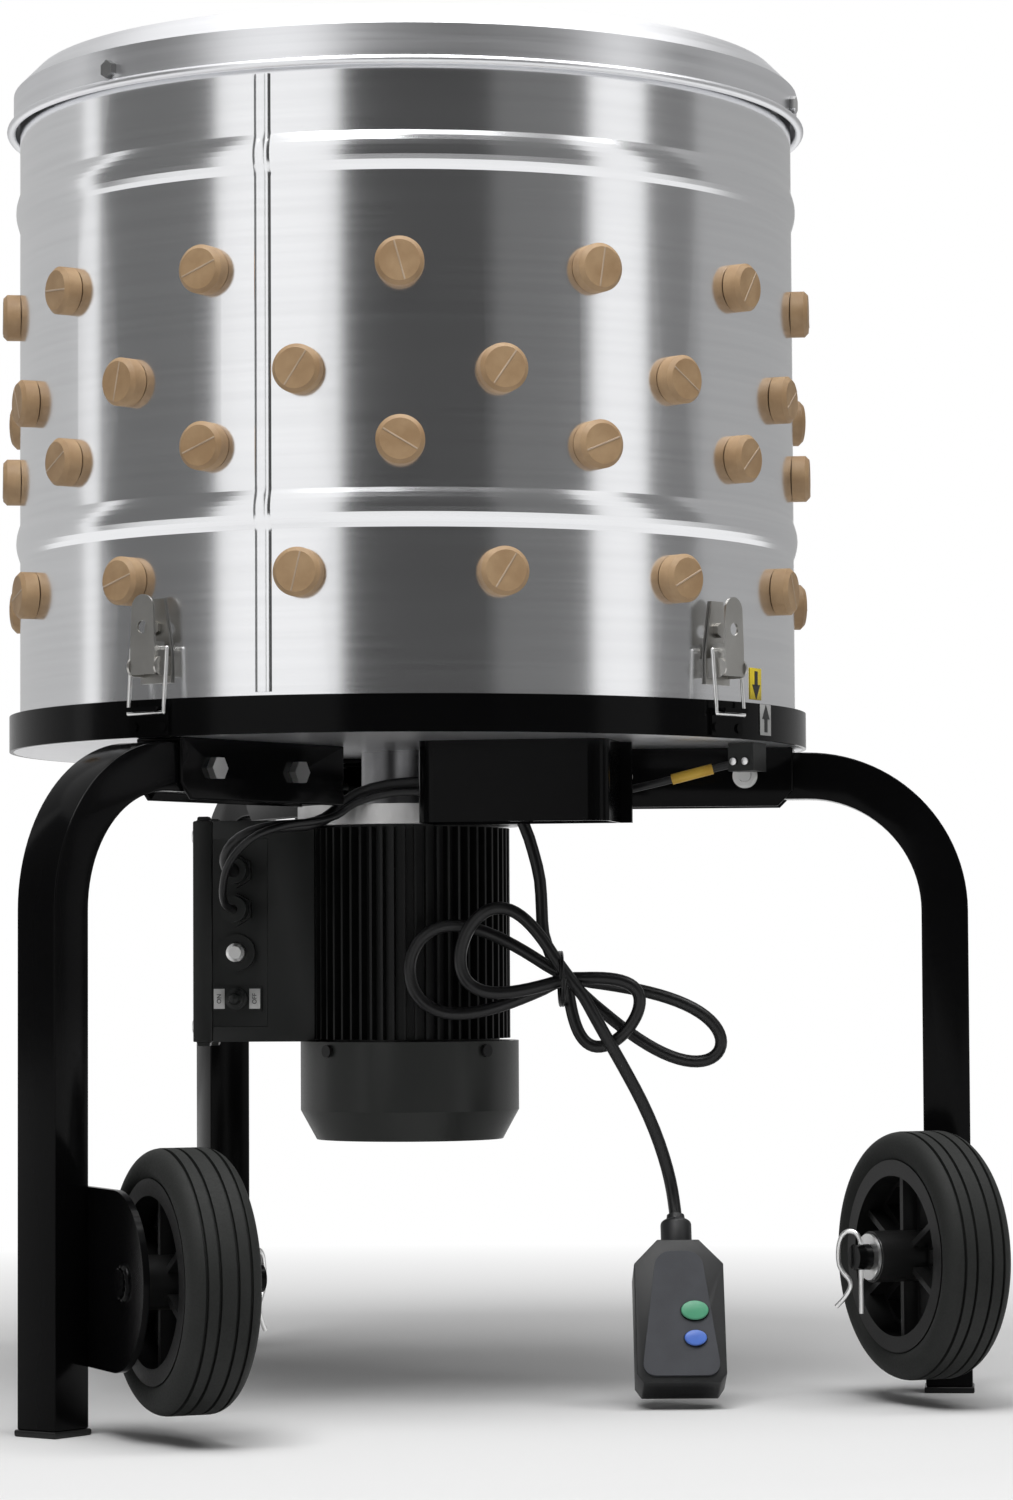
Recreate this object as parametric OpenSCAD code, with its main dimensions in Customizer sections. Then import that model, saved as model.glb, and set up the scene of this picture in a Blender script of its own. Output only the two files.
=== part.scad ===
// Drum poultry plucker on three bent legs, with two transport wheels.
// Origin on the floor under the middle of the machine, +Z up, feather chute and wheels towards -Y.
// Bearings round the axis are measured from -Y towards +X.

/* [Drum] */
// Outer radius of the drum wall
drum_r = 254; // [230:1:280]
// Thickness of the drum wall
drum_wall = 1.2; // [0.8:0.1:2]
// Height of the drum wall
drum_h = 422; // [416:1:440]
// Height of one swaged bead
bead_h = 24; // [16:1:26]
// How far a bead stands out
bead_out = 2.6; // [1:0.2:4]
// Centre of the lower bead above the drum's bottom edge
bead_low_z = 134; // [130:1:140]
// Centre of the upper bead above the drum's bottom edge
bead_high_z = 351; // [347:1:356]

/* [Rim cover] */
// Height of the rim cover's upright band
rim_band_h = 20; // [15:1:26]
// Height of the sloping top face
rim_slope_h = 14; // [8:1:18]
// How far the sloping face reaches inwards
rim_slope_in = 14; // [8:1:20]
// Sheet thickness of the rim cover
rim_t = 1.2; // [0.8:0.1:2]
// Radius of the wired edge
rim_bead_r = 2.8; // [2:0.1:3.5]
// Gap between drum wall and rim cover
rim_gap = 3; // [2.5:0.1:4]
// How far the drum wall reaches into the rim cover
rim_overlap = 20; // [14:1:24]

/* [Fingers] */
// Fingers in each row of the drum wall
finger_count = 13; // [9:1:14]
// Radius of a finger's head
head_r = 15; // [12:0.5:17]
// Thickness of a finger's head
head_t = 11; // [8:0.5:13]
// Radius of a finger's neck
neck_r = 9.5; // [7:0.5:10]
// Radius of a finger behind its neck
root_r = 11.5; // [10.5:0.5:12]
// Radius of a finger's tip
tip_r = 6.5; // [5:0.5:8]
// How far a finger reaches past the sheet
finger_reach = 62; // [50:1:64]
// Ribs on a finger
rib_count = 6; // [4:1:8]
// Clearance of a finger's neck in its hole
neck_gap = 0.25; // [0.1:0.05:0.4]
// Heights of the four rows above the drum's bottom edge
finger_rows = [95, 174, 218, 282];
// Bearing of the first finger of the odd rows
finger_bearing = -23.8; // [-26:0.2:-22]

/* [Base] */
// How far the base ring stands out past the drum wall
ring_over = 7; // [6:0.5:9]
// Height of the base ring
ring_h = 23; // [20:1:26]
// Thickness of the base ring
ring_t = 2.5; // [2:0.1:4]
// Thickness of the pan floor
pan_t = 2; // [1.5:0.1:3]
// Height of the pan's underside above the floor
pan_z = 416; // [400:1:450]
// Gap between pan and ring
pan_gap = 0.1; // [0.05:0.05:0.3]
// Width of the feather chute
chute_w = 121; // [110:1:130]
// Depth of the chute below the pan
chute_h = 51; // [40:1:60]
// Distance of the chute's front face inside the drum wall
chute_inset = 106; // [98:1:112]
// Front to back size of the chute
chute_deep = 56; // [48:1:60]
// How far the chute is shifted sideways
chute_shift = 96.5; // [90:0.5:102]
// Bearing that the chute's front faces
chute_bearing = -35; // [-38:1:-30]
// Sheet thickness of the chute
chute_t = 1.5; // [1:0.1:2.5]
// Corner radius of the chute
chute_corner = 12; // [6:1:18]
// Width of the chute's side flange
chute_flange = 7; // [4:1:10]

/* [Legs] */
// Outer width of the square leg tube
tube_w = 30; // [26:1:34]
// Wall of the leg tube
tube_wall = 2; // [1.5:0.1:3]
// Distance of a leg's centre line from the axis
leg_reach = 350; // [330:1:380]
// Centre-line radius of the bend
bend_r = 88; // [70:1:95]
// Wall of a radial channel
channel_t = 3; // [2:0.1:4]
// Depth of a radial channel
channel_h = 38; // [36:1:42]
// Inner end of a channel from the axis
channel_in = 92; // [88:1:98]
// Distance of a channel's outer end inside the base ring
channel_inset = 8; // [5:0.5:16]
// Clearance of the tube in its channel
channel_gap = 0.3; // [0.2:0.1:0.6]
// Distance of the inner leg bolt from its channel's inner end
leg_bolt_in = 49; // [30:1:60]
// Distance of the outer leg bolt from its channel's outer end
leg_bolt_out = 31; // [24:1:40]
// Shank radius of the leg bolts
leg_bolt_r = 4; // [3:0.5:5]
// Width across flats of the leg bolts
leg_bolt_af = 13; // [10:1:17]
// Thickness of a foot cap's flange
cap_h = 4; // [3:0.5:6]
// Depth of a foot cap in its tube
cap_plug = 16; // [10:1:25]

/* [Wheels] */
// Radius of a tyre
tyre_r = 77.5; // [70:0.5:85]
// Width of a tyre
tyre_w = 45; // [36:1:50]
// Outer radius of a wheel's hub
hub_r = 60; // [54:1:64]
// Length of a hub on its axle, from the wheel's middle towards the leg
hub_out = 27; // [25:1:29]
// Length of a hub on its axle, from the wheel's middle away from the leg
hub_in = 37; // [30:1:40]
// Openings in a wheel's web
web_count = 6; // [4:1:6]
// Radius of the axle
axle_r = 8; // [6:0.5:9]
// Running clearance of the axle
axle_gap = 0.1; // [0.05:0.05:0.3]
// Distance of a wheel's middle from its leg's centre line, towards the other wheel
wheel_inset = 57.1; // [54:0.1:62]
// Distance of the axle in front of its leg's centre line
axle_ahead = 68; // [60:1:76]
// Height of the axle above the floor
axle_z = 93; // [90:1:100]
// Half height of a wheel bracket
bracket_r = 53; // [46:1:58]
// Thickness of a wheel bracket
bracket_t = 4; // [3:0.5:6]
// Thickness of a washer
washer_t = 2; // [1:0.5:3]
// Wire radius of a hitch clip
clip_r = 1.5; // [1:0.1:2]

/* [Drive] */
// Outer radius of the motor's fins
fin_r = 66; // [64:0.5:70]
// Fins round the motor
fin_count = 56; // [32:1:60]
// Thickness of a fin
fin_t = 1.6; // [1.2:0.1:2]
// Plain band of the motor housing above and below its fins
fin_end = 1.5; // [1:0.5:4]
// Outer radius of the motor's body
motor_r = 59; // [58:0.5:61]
// Wall of the motor's body
motor_wall = 3; // [2.5:0.1:4]
// Length of the motor's body
motor_h = 140; // [130:1:150]
// Radius of the motor flange
flange_r = 73; // [70:0.5:78]
// Thickness of the motor flange
flange_h = 13; // [12:1:16]
// Outer radius of the gear housing
gearbox_r = 31; // [30.5:0.1:34]
// Height of the gear housing
gearbox_h = 36; // [35:0.5:40]
// Outer radius of the motor's bearings
bearing_r = 14; // [12:0.5:16]
// Width of the motor's bearings
bearing_h = 9; // [7:0.5:10]
// Radius of the motor shaft
rotor_shaft_r = 6; // [5:0.1:6.5]
// Radius of the output shaft
output_r = 8; // [7:0.1:9]
// Outer radius of the fan cover
fan_cover_r = 71.5; // [70:0.5:75]
// Height of the fan cover
fan_cover_h = 64; // [56:1:70]
// Height of the fan cover's slope
fan_cover_slope = 19; // [12:1:22]
// Wall of the fan cover
fan_cover_t = 1.5; // [1:0.1:2]
// Running clearance of shafts in bearings
shaft_gap = 0.05; // [0.02:0.01:0.1]
// Air gap between rotor and stator
air_gap = 0.5; // [0.3:0.1:1]

/* [Gears] */
// Module of the gear teeth
gear_m = 0.8; // [0.7:0.02:0.82]
// Teeth on the sun
sun_teeth = 12; // [12]
// Teeth on a planet
planet_teeth = 24; // [24]
// Face width of the gears
gear_w = 12; // [8:1:13]
// Backlash along the pitch circle
backlash = 0.2; // [0.1:0.02:0.3]

/* [Feather plate] */
// Distance of the feather plate's edge inside the drum wall
plate_inset = 19; // [14:1:28]
// Thickness of the feather plate
plate_t = 3; // [2:0.5:4]
// Gap between pan floor and feather plate
plate_lift = 18; // [16:1:20]
// Fingers on the outer and inner circle
plate_counts = [12, 6];
// Distance of the outer finger circle inside the plate's edge
circle_inset = 35; // [30:1:45]
// Share of the plate's radius at the inner finger circle
circle_share = 0.468; // [0.4:0.002:0.55]

/* [Latches] */
// Bearings of the four latches
latch_bearings = [-60, 26, 120, 206];
// Sheet thickness of the latch pieces
latch_t = 1.5; // [1:0.1:2]
// Width of a latch's base plate
latch_w = 24; // [22:1:26]
// Height of a latch's pivot above the ring's top
latch_pivot_z = 20; // [18:1:24]
// Distance of a latch's pivot from the drum wall
latch_pivot_out = 10; // [9:0.5:12]
// Height of the bail's pivot above the lever's pivot
bail_pivot_up = 11; // [10:0.5:12]
// Height of a lever above its pivot
lever_h = 44; // [38:1:46]
// Wire radius of a bail
bail_r = 1.25; // [1:0.05:1.4]
// Radius of a latch's pivot pin
latch_pin_r = 1.5; // [1:0.1:1.6]
// Running clearance in the latch
latch_gap = 0.1; // [0.05:0.05:0.2]
// Height of the catch's tab below the ring's top
catch_drop = 5; // [4:0.5:6]

/* [Control box] */
// Height of the control box
box_h = 144; // [140:1:150]
// Depth of the control box from panel to back
box_deep = 60; // [56:1:66]
// Distance of the lid's outer face from the axis
box_out = 139; // [134:1:146]
// Thickness of the lid
lid_t = 13; // [10:1:16]
// Wall of the control box
box_wall = 2.5; // [2:0.1:4]
// Bearing that the panel faces
panel_bearing = -28; // [-30:1:-24]
// Distance of the panel's fittings from the axis
panel_at = 110; // [108:1:114]
// Heights of the two glands above the box's bottom
gland_z = [86, 111];
// Height of the reset button above the box's bottom
reset_z = 58; // [54:1:62]
// Height of the toggle switch above the box's bottom
toggle_z = 28; // [24:1:32]
// Radius of the reset button
reset_r = 6; // [4:0.5:7]
// Radius of the toggle switch's boot
boot_r = 7; // [5:0.5:8]

/* [Cord] */
// Diameter of the power cord
cord_d = 8; // [7.8:0.1:8.2]
// Diameter of the switch cable
cable_d = 5; // [4.6:0.1:5.4]
// Width of the plug
plug_w = 56; // [48:1:60]
// Length of the plug
plug_h = 94; // [88:1:98]
// Thickness of the plug
plug_t = 32; // [28:1:36]
// Side of a plug button
key_w = 11; // [8:0.5:13]
// Travel of a plug button
key_travel = 1.5; // [1:0.1:2]

/* [Hidden] */
$fn = 64;
cut = 1;

// Radii
ring_r = drum_r + ring_over;
plate_r = drum_r - plate_inset;
plate_circles = [plate_r - circle_inset, plate_r * circle_share];
chute_front = drum_r - chute_inset;
channel_out = ring_r - channel_inset;
leg_bolt_at = [channel_in + leg_bolt_in, channel_out - leg_bolt_out];

// Heights
drum_z = pan_z + pan_t;
ring_top = pan_z + ring_h;
rim_z = drum_z + drum_h - rim_overlap;
rim_in_r = drum_r + rim_gap;
rim_top_z = rim_z + 2 * rim_bead_r + rim_band_h;
plate_z = drum_z + plate_lift;
tube_z = pan_z - channel_t - channel_gap - tube_w / 2;
flange_z = pan_z - gearbox_h - flange_h;
motor_z = flange_z - motor_h;
fan_cover_z = motor_z - fan_cover_h;
box_z = motor_z;
panel_out = box_deep / 2;
gland_len = 22;

// Bearings of the legs
leg_bearings = [-60, 60, 180];
leg_side_x = leg_reach * sin(leg_bearings[1]);
leg_side_y = leg_reach * cos(leg_bearings[1]);
wheel_x = leg_side_x - wheel_inset;
axle_y = leg_side_y + axle_ahead;
// How far a foot cap's flange stands out of its tube
cap_lip = 1;

// The row's origin is the middle of the whole machine on the floor, so each piece is moved there last
mid_y = (leg_reach + tube_w / 2 + cap_lip - axle_y - tyre_r) / 2;
module placed() { translate([0, -mid_y, 0]) children(); }

// Places a piece made along +X at a bearing round the axis
module at_bearing(b) { rotate([0, 0, b - 90]) children(); }

// Hexagonal prism by its width across flats
module hexagon(af, h) { cylinder(r = af / sqrt(3), h = h, $fn = 6); }

// Drum

// Outline of half a bead, from its foot to its crown and back, at a given wall radius
function bead_outline(r, z) =
    [for (i = [0 : 8]) [r + bead_out * sin(i * 22.5), z - bead_h / 2 + bead_h * i / 8]];

// Outline of the whole wall from bottom to top
function wall_outline(r) = concat(
    [[r, 0]], bead_outline(r, bead_low_z), bead_outline(r, bead_high_z), [[r, drum_h]]);
function turned(p) = [for (i = [len(p) - 1 : -1 : 0]) p[i]];

module drum_shell() {
    color("silver") translate([0, 0, drum_z]) difference() {
        rotate_extrude($fn = 128)
            polygon(concat(wall_outline(drum_r), turned(wall_outline(drum_r - drum_wall))));
        for (row = [0 : len(finger_rows) - 1])
            for (i = [0 : finger_count - 1])
                at_bearing(finger_at(row, i)) translate([0, 0, finger_rows[row]])
                    rotate([0, 90, 0]) translate([0, 0, drum_r / 2])
                        cylinder(r = neck_r + neck_gap, h = drum_r);
        for (b = rim_bolt_bearings)
            at_bearing(b) translate([drum_r / 2, 0, rim_bolt_z - drum_z])
                rotate([0, 90, 0]) cylinder(r = rim_bolt_r + neck_gap, h = drum_r);
    }
}

// Rim cover with a sloping top and a wired lower edge
rim_bolt_r = 3;
rim_bolt_z = rim_z + 2 * rim_bead_r + 6.5;
rim_bolt_bearings = [-68, 52, 172];
rim_out_r = rim_in_r + rim_t;

module rim_cover() {
    band_z = rim_z + rim_bead_r;
    slope_in_r = rim_in_r - rim_slope_in;
    color("gainsboro") difference() {
        rotate_extrude($fn = 128) union() {
            polygon([
                [rim_in_r, band_z], [rim_out_r, band_z], [rim_out_r, rim_top_z],
                [slope_in_r + rim_t, rim_top_z + rim_slope_h], [slope_in_r, rim_top_z + rim_slope_h],
                [slope_in_r, rim_top_z + rim_slope_h - rim_t], [rim_in_r, rim_top_z - rim_t]]);
            translate([rim_in_r + rim_bead_r, band_z]) circle(r = rim_bead_r);
        }
        for (b = rim_bolt_bearings)
            at_bearing(b) translate([drum_r / 2, 0, rim_bolt_z])
                rotate([0, 90, 0]) cylinder(r = rim_bolt_r + neck_gap, h = drum_r);
    }
}

// Rim bolt with its head outside, a spacer in the gap and a nut inside the drum
module rim_bolts() {
    head_h = 4;
    af = 10;
    inside = drum_r - drum_wall - head_h;
    color("lightgray") for (b = rim_bolt_bearings)
        at_bearing(b) translate([0, 0, rim_bolt_z]) rotate([0, 90, 0]) {
            translate([0, 0, rim_out_r]) hexagon(af, head_h);
            translate([0, 0, inside - head_h]) cylinder(r = rim_bolt_r, h = rim_out_r - inside + head_h);
            translate([0, 0, inside - neck_gap]) hexagon(af, head_h);
            translate([0, 0, drum_r + neck_gap]) cylinder(r = af / 2, h = rim_gap - 2 * neck_gap);
        }
}

// Plucking fingers
function finger_at(row, i) = finger_bearing + 360 / finger_count * (i + (row % 2 == 0 ? 0.5 : 0));

// Radius of the tapering finger at a share of its reach
function taper(s) = root_r + (tip_r - root_r) * s;
rib_h = 0.9;
head_chamfer = 2.5;

// Finger along +Z with its head below the sheet, whose thickness is seat
module finger(seat) {
    pitch = finger_reach / (rib_count + 2);
    rotate_extrude($fn = 32) polygon(concat(
        [[0, -head_t], [head_r - head_chamfer, -head_t], [head_r, -head_t + head_chamfer], [head_r, 0],
         [neck_r, 0], [neck_r, seat], [root_r, seat]],
        [for (i = [1 : rib_count], k = [0 : 2])
            let (s = seat + pitch * (i + (k - 1) * 0.2))
            [taper((s - seat) / finger_reach) + (k == 1 ? rib_h : 0), s]],
        [[tip_r, seat + finger_reach - 1], [tip_r - 1, seat + finger_reach], [0, seat + finger_reach]]));
}

// The drum is curved, so a finger's seat is deeper than the sheet
seat_drum = drum_wall + root_r * root_r / (2 * (drum_r - drum_wall)) + neck_gap;

module wall_fingers() {
    color("peru") for (row = [0 : len(finger_rows) - 1]) for (i = [0 : finger_count - 1])
        at_bearing(finger_at(row, i)) translate([drum_r, 0, drum_z + finger_rows[row]])
            rotate([0, -90, 0]) finger(seat_drum);
}

// Latches
pivot_r = drum_r + latch_pivot_out;
pivot_z = ring_top + latch_pivot_z;
bail_pivot_r = pivot_r - 2;
bail_pivot_z = pivot_z + bail_pivot_up;
ear_in = latch_w / 2 - 2.25;
bail_half = latch_w / 2 + 2;
lever_half = ear_in - latch_gap;
catch_tab_z = ring_top - catch_drop;
catch_reach = 9;
catch_gap = 0.75;
bail_bar_r = ring_r + latch_t + 2.5;
bail_bar_z = catch_tab_z - latch_t - bail_r - catch_gap;

// Base plate with two ears, and the pivot pin across them
module latch_bases() {
    ear_r = 6;
    color("lightgray") for (b = latch_bearings) at_bearing(b) {
        difference() {
            union() {
                translate([drum_r, 0, pivot_z]) rotate([90, 0, 90]) linear_extrude(latch_t)
                    polygon([[-latch_w / 2, -10], [latch_w / 2, -10], [latch_w / 2, 8],
                        [latch_w / 4, lever_h - 2], [-latch_w / 4, lever_h - 2], [-latch_w / 2, 8]]);
                for (s = [-1, 1]) {
                    y0 = s > 0 ? ear_in : -ear_in - latch_t;
                    translate([drum_r, y0, pivot_z - ear_r])
                        cube([latch_pivot_out, latch_t, 2 * ear_r]);
                    translate([pivot_r, y0, pivot_z]) rotate([-90, 0, 0]) cylinder(r = ear_r, h = latch_t);
                }
            }
            translate([pivot_r, -latch_w, pivot_z]) rotate([-90, 0, 0])
                cylinder(r = latch_pin_r + latch_gap, h = 2 * latch_w);
        }
        translate([pivot_r, -ear_in - latch_t, pivot_z]) rotate([-90, 0, 0])
            cylinder(r = latch_pin_r, h = 2 * (ear_in + latch_t));
        translate([drum_r + latch_t, 0, pivot_z + lever_h - 20]) rotate([0, 90, 0]) hexagon(8, 3);
    }
}

// Tapered lever with two flanges, on the pin between the ears
module latch_lever(b) {
    plate_r0 = pivot_r + 3;
    foot = 5;
    top_half = lever_half * 0.88;
    color("whitesmoke") at_bearing(b) difference() {
        union() {
            translate([plate_r0, 0, pivot_z]) rotate([90, 0, 90]) linear_extrude(latch_t) {
                polygon([[-lever_half, -foot], [lever_half, -foot], [lever_half, 12],
                    [top_half, lever_h - top_half], [-top_half, lever_h - top_half], [-lever_half, 12]]);
                translate([0, lever_h - top_half]) circle(r = top_half);
            }
            for (s = [-1, 1])
                translate([pivot_r - 5, s > 0 ? lever_half - latch_t : -lever_half, pivot_z - foot])
                    cube([8, latch_t, foot + bail_pivot_up + 4]);
        }
        for (p = [[pivot_r, pivot_z, latch_pin_r], [bail_pivot_r, bail_pivot_z, bail_r]])
            translate([p[0], -latch_w, p[1]]) rotate([-90, 0, 0])
                cylinder(r = p[2] + latch_gap, h = 2 * latch_w);
        translate([plate_r0 - cut, 0, pivot_z + lever_h - 20]) rotate([0, 90, 0])
            cylinder(r = 4, h = latch_t + 2 * cut);
    }
}

// Wire bail: two legs, a bar under the catch and two ends turned into the lever
module latch_bail(b) {
    lean = atan2(bail_bar_r - bail_pivot_r, bail_pivot_z - bail_bar_z);
    leg_len = norm([bail_bar_r - bail_pivot_r, bail_pivot_z - bail_bar_z]);
    end_in = lever_half - latch_t;
    color("lightgray") at_bearing(b) translate([bail_pivot_r, 0, bail_pivot_z]) rotate([0, -lean, 0]) {
        for (s = [-1, 1]) {
            translate([0, s * bail_half, -leg_len]) cylinder(r = bail_r, h = leg_len);
            translate([0, s > 0 ? end_in : -bail_half, 0]) rotate([-90, 0, 0])
                cylinder(r = bail_r, h = bail_half - end_in);
            for (z = [0, -leg_len]) translate([0, s * bail_half, z]) sphere(r = bail_r);
        }
        translate([0, -bail_half, -leg_len]) rotate([-90, 0, 0]) cylinder(r = bail_r, h = 2 * bail_half);
    }
}

// Catch on the base ring, with a tab over the bail's bar, and its two screws
module latch_catches() {
    tab_half = bail_half - 2 * bail_r;
    lip = 1.5;
    plate_half = bail_half + 1.5;
    color("dimgray") for (b = latch_bearings) at_bearing(b) {
        translate([ring_r, -plate_half, pan_z + 1]) cube([latch_t, 2 * plate_half, catch_tab_z - pan_z - 1]);
        translate([ring_r, -tab_half, catch_tab_z - latch_t]) cube([catch_reach, 2 * tab_half, latch_t]);
        translate([ring_r + catch_reach - latch_t, -tab_half, catch_tab_z - latch_t - lip])
            cube([latch_t, 2 * tab_half, lip]);
        for (s = [-1, 1]) translate([ring_r + latch_t, s * (plate_half - 4), pan_z + 6])
            rotate([0, 90, 0]) cylinder(r = 3, h = 1.2);
    }
}

// Base
module base_ring() {
    color("black") translate([0, 0, pan_z]) difference() {
        cylinder(r = ring_r, h = ring_h, $fn = 128);
        translate([0, 0, -cut]) cylinder(r = ring_r - ring_t, h = ring_h + 2 * cut, $fn = 128);
    }
}

module base_pan() {
    color("gainsboro") translate([0, 0, pan_z]) difference() {
        cylinder(r = ring_r - ring_t - pan_gap, h = pan_t, $fn = 128);
        translate([0, 0, -cut]) cylinder(r = output_r + 6, h = pan_t + 2 * cut);
        on_chute() translate([-chute_w / 2 + chute_t, -chute_front + chute_t, -cut])
            cube([chute_w - 2 * chute_t, chute_deep - 2 * chute_t, pan_t + 2 * cut]);
    }
}

// Turns the chute so that its front faces the chute's bearing
module on_chute() { rotate([0, 0, chute_bearing]) translate([chute_shift, 0, 0]) children(); }

// Open duct below the pan, with rounded front corners and a flange on one side
module chute_outline(inset) {
    c = chute_corner - inset;
    w = chute_w / 2 - inset;
    back = chute_front - chute_deep + inset;
    front = chute_front - inset;
    translate([-w, -front + c]) square([2 * w, front - back - c]);
    translate([-w + c, -front]) square([2 * (w - c), c + cut]);
    for (s = [-1, 1]) translate([s * (w - c), -front + c]) circle(r = c);
}

module feather_chute() {
    flange_deep = 3;
    color("black") on_chute() translate([0, 0, pan_z - chute_h]) {
        difference() {
            union() {
                linear_extrude(chute_h) chute_outline(0);
                translate([chute_w / 2 - cut, -chute_front + chute_deep - flange_deep, 0])
                    cube([chute_flange + cut, flange_deep, chute_h]);
            }
            translate([0, 0, -cut]) linear_extrude(chute_h + 2 * cut) chute_outline(chute_t);
        }
    }
}

// Radial channels that hold the legs
module frame_channels() {
    len = channel_out - channel_in;
    w = tube_w + 2 * (channel_t + channel_gap);
    nip = 10;
    color("black") for (b = leg_bearings) at_bearing(b)
        translate([channel_in, 0, pan_z - channel_h]) difference() {
            translate([0, w / 2, 0]) rotate([90, 0, 0]) linear_extrude(w)
                polygon([[0, 0], [len - nip, 0], [len, nip], [len, channel_h], [0, channel_h]]);
            translate([-cut, -w / 2 + channel_t, -cut])
                cube([len + 2 * cut, w - 2 * channel_t, channel_h - channel_t + cut]);
            for (r = leg_bolt_at) translate([r - channel_in, -w, tube_z - pan_z + channel_h])
                rotate([-90, 0, 0])
                cylinder(r = leg_bolt_r + neck_gap, h = 2 * w);
        }
}

// Legs

// Square section of the leg tube, solid at full width or as its bore
module leg_run(w, end) {
    run = leg_reach - bend_r - (channel_in + tube_w / 2);
    translate([channel_in + tube_w / 2 - end, -w / 2, tube_z - w / 2]) cube([run + end, w, w]);
    translate([leg_reach - bend_r, w / 2, tube_z - bend_r]) rotate([90, 0, 0])
        rotate_extrude(angle = 90) translate([bend_r - w / 2, 0]) square([w, w]);
    translate([leg_reach - w / 2, -w / 2, cap_h - end]) cube([w, w, tube_z - bend_r - cap_h + end]);
}

module leg(b) {
    color("black") at_bearing(b) difference() {
        leg_run(tube_w, 0);
        leg_run(tube_w - 2 * tube_wall, cut);
        for (r = leg_bolt_at) translate([r, -tube_w, tube_z]) rotate([-90, 0, 0])
            cylinder(r = leg_bolt_r + neck_gap, h = 2 * tube_w);
    }
}

module foot_caps() {
    plug = tube_w - 2 * tube_wall - 2 * channel_gap;
    color("dimgray") for (b = leg_bearings) at_bearing(b) translate([leg_reach, 0, 0]) {
        translate([-tube_w / 2 - cap_lip, -tube_w / 2 - cap_lip, 0])
            cube([tube_w + 2 * cap_lip, tube_w + 2 * cap_lip, cap_h]);
        translate([-plug / 2, -plug / 2, cap_h]) cube([plug, plug, cap_plug]);
    }
}

// Bolts across channel and tube, with washer and nut
module leg_bolts() {
    half = tube_w / 2 + channel_gap + channel_t;
    head_h = 5;
    washer_r = leg_bolt_af * 0.62;
    color("silver") for (b = leg_bearings, r = leg_bolt_at)
        at_bearing(b) translate([r, 0, tube_z]) rotate([-90, 0, 0]) {
            translate([0, 0, -half - head_h - 4]) cylinder(r = leg_bolt_r, h = 2 * half + head_h + 4);
            translate([0, 0, half]) hexagon(leg_bolt_af, head_h);
            difference() {
                translate([0, 0, -half - head_h]) hexagon(leg_bolt_af, head_h - 1);
                translate([0, 0, -half - head_h - cut])
                    cylinder(r = leg_bolt_r + neck_gap, h = head_h + 2 * cut);
            }
            difference() {
                translate([0, 0, -half - 1]) cylinder(r = washer_r, h = 1);
                translate([0, 0, -half - 1 - cut]) cylinder(r = leg_bolt_r + neck_gap, h = 1 + 2 * cut);
            }
        }
}

// Wheels
bracket_x = wheel_x + hub_out + washer_t + 4;
axle_tail = 10;
axle_in = wheel_x - hub_in - washer_t - axle_tail;

// D-shaped plate welded to a leg, carrying the axle
module wheel_bracket(side) {
    color("black") difference() {
        mirror([side < 0 ? 1 : 0, 0, 0]) translate([bracket_x, 0, axle_z])
            rotate([90, 0, 90]) linear_extrude(bracket_t) {
                translate([-axle_y + 18, 0]) circle(r = bracket_r);
                translate([-axle_y + 18, -bracket_r])
                    square([axle_y - 18 - leg_side_y + tube_w / 2, 2 * bracket_r]);
            }
        at_bearing(side * leg_bearings[1]) translate([leg_reach - tube_w / 2, -tube_w / 2, 0])
            cube([tube_w, tube_w, 2 * axle_z + bracket_r]);
        mirror([side < 0 ? 1 : 0, 0, 0]) translate([bracket_x - cut, -axle_y, axle_z])
            rotate([0, 90, 0]) cylinder(r = axle_r, h = bracket_t + 2 * cut);
    }
}

// Axle pins with a cross hole for the hitch clip
module wheel_axles() {
    color("gray") for (s = [-1, 1]) difference() {
        mirror([s < 0 ? 1 : 0, 0, 0]) translate([axle_in, -axle_y, axle_z])
            rotate([0, 90, 0]) cylinder(r = axle_r, h = bracket_x + bracket_t + 3 - axle_in);
        translate([s * (axle_in + axle_tail / 2), -axle_y, axle_z - 2 * axle_r])
            cylinder(r = clip_r + neck_gap, h = 4 * axle_r);
    }
}

// Hub with a barrel, a rim and web openings between spokes
module wheel_hub(side) {
    barrel_r = axle_r + 8;
    rim_wall = hub_r / 6;
    hub_len = hub_in + hub_out;
    web_t = 10;
    rim_w = tyre_w - 3;
    color("black") translate([side * wheel_x, -axle_y, axle_z]) rotate([0, 90, 0]) difference() {
        union() {
            translate([0, 0, side > 0 ? -hub_in : -hub_out]) cylinder(r = barrel_r, h = hub_len);
            translate([0, 0, -web_t / 2]) cylinder(r = hub_r - 1, h = web_t);
            difference() {
                translate([0, 0, -rim_w / 2]) cylinder(r = hub_r, h = rim_w);
                translate([0, 0, -rim_w / 2 - cut]) cylinder(r = hub_r - rim_wall, h = rim_w + 2 * cut);
            }
            for (i = [0 : web_count - 1]) rotate([0, 0, 360 / web_count * i])
                translate([barrel_r - 2, -2, -rim_w / 2 + 6])
                    cube([hub_r - barrel_r - rim_wall + 4, 4, rim_w - 12]);
        }
        translate([0, 0, -hub_len]) cylinder(r = axle_r + axle_gap, h = 2 * hub_len);
        for (i = [0 : web_count - 1])
            rotate([0, 0, 360 / web_count * (i + 0.5)]) web_opening(barrel_r, rim_wall, web_t);
    }
}

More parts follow.
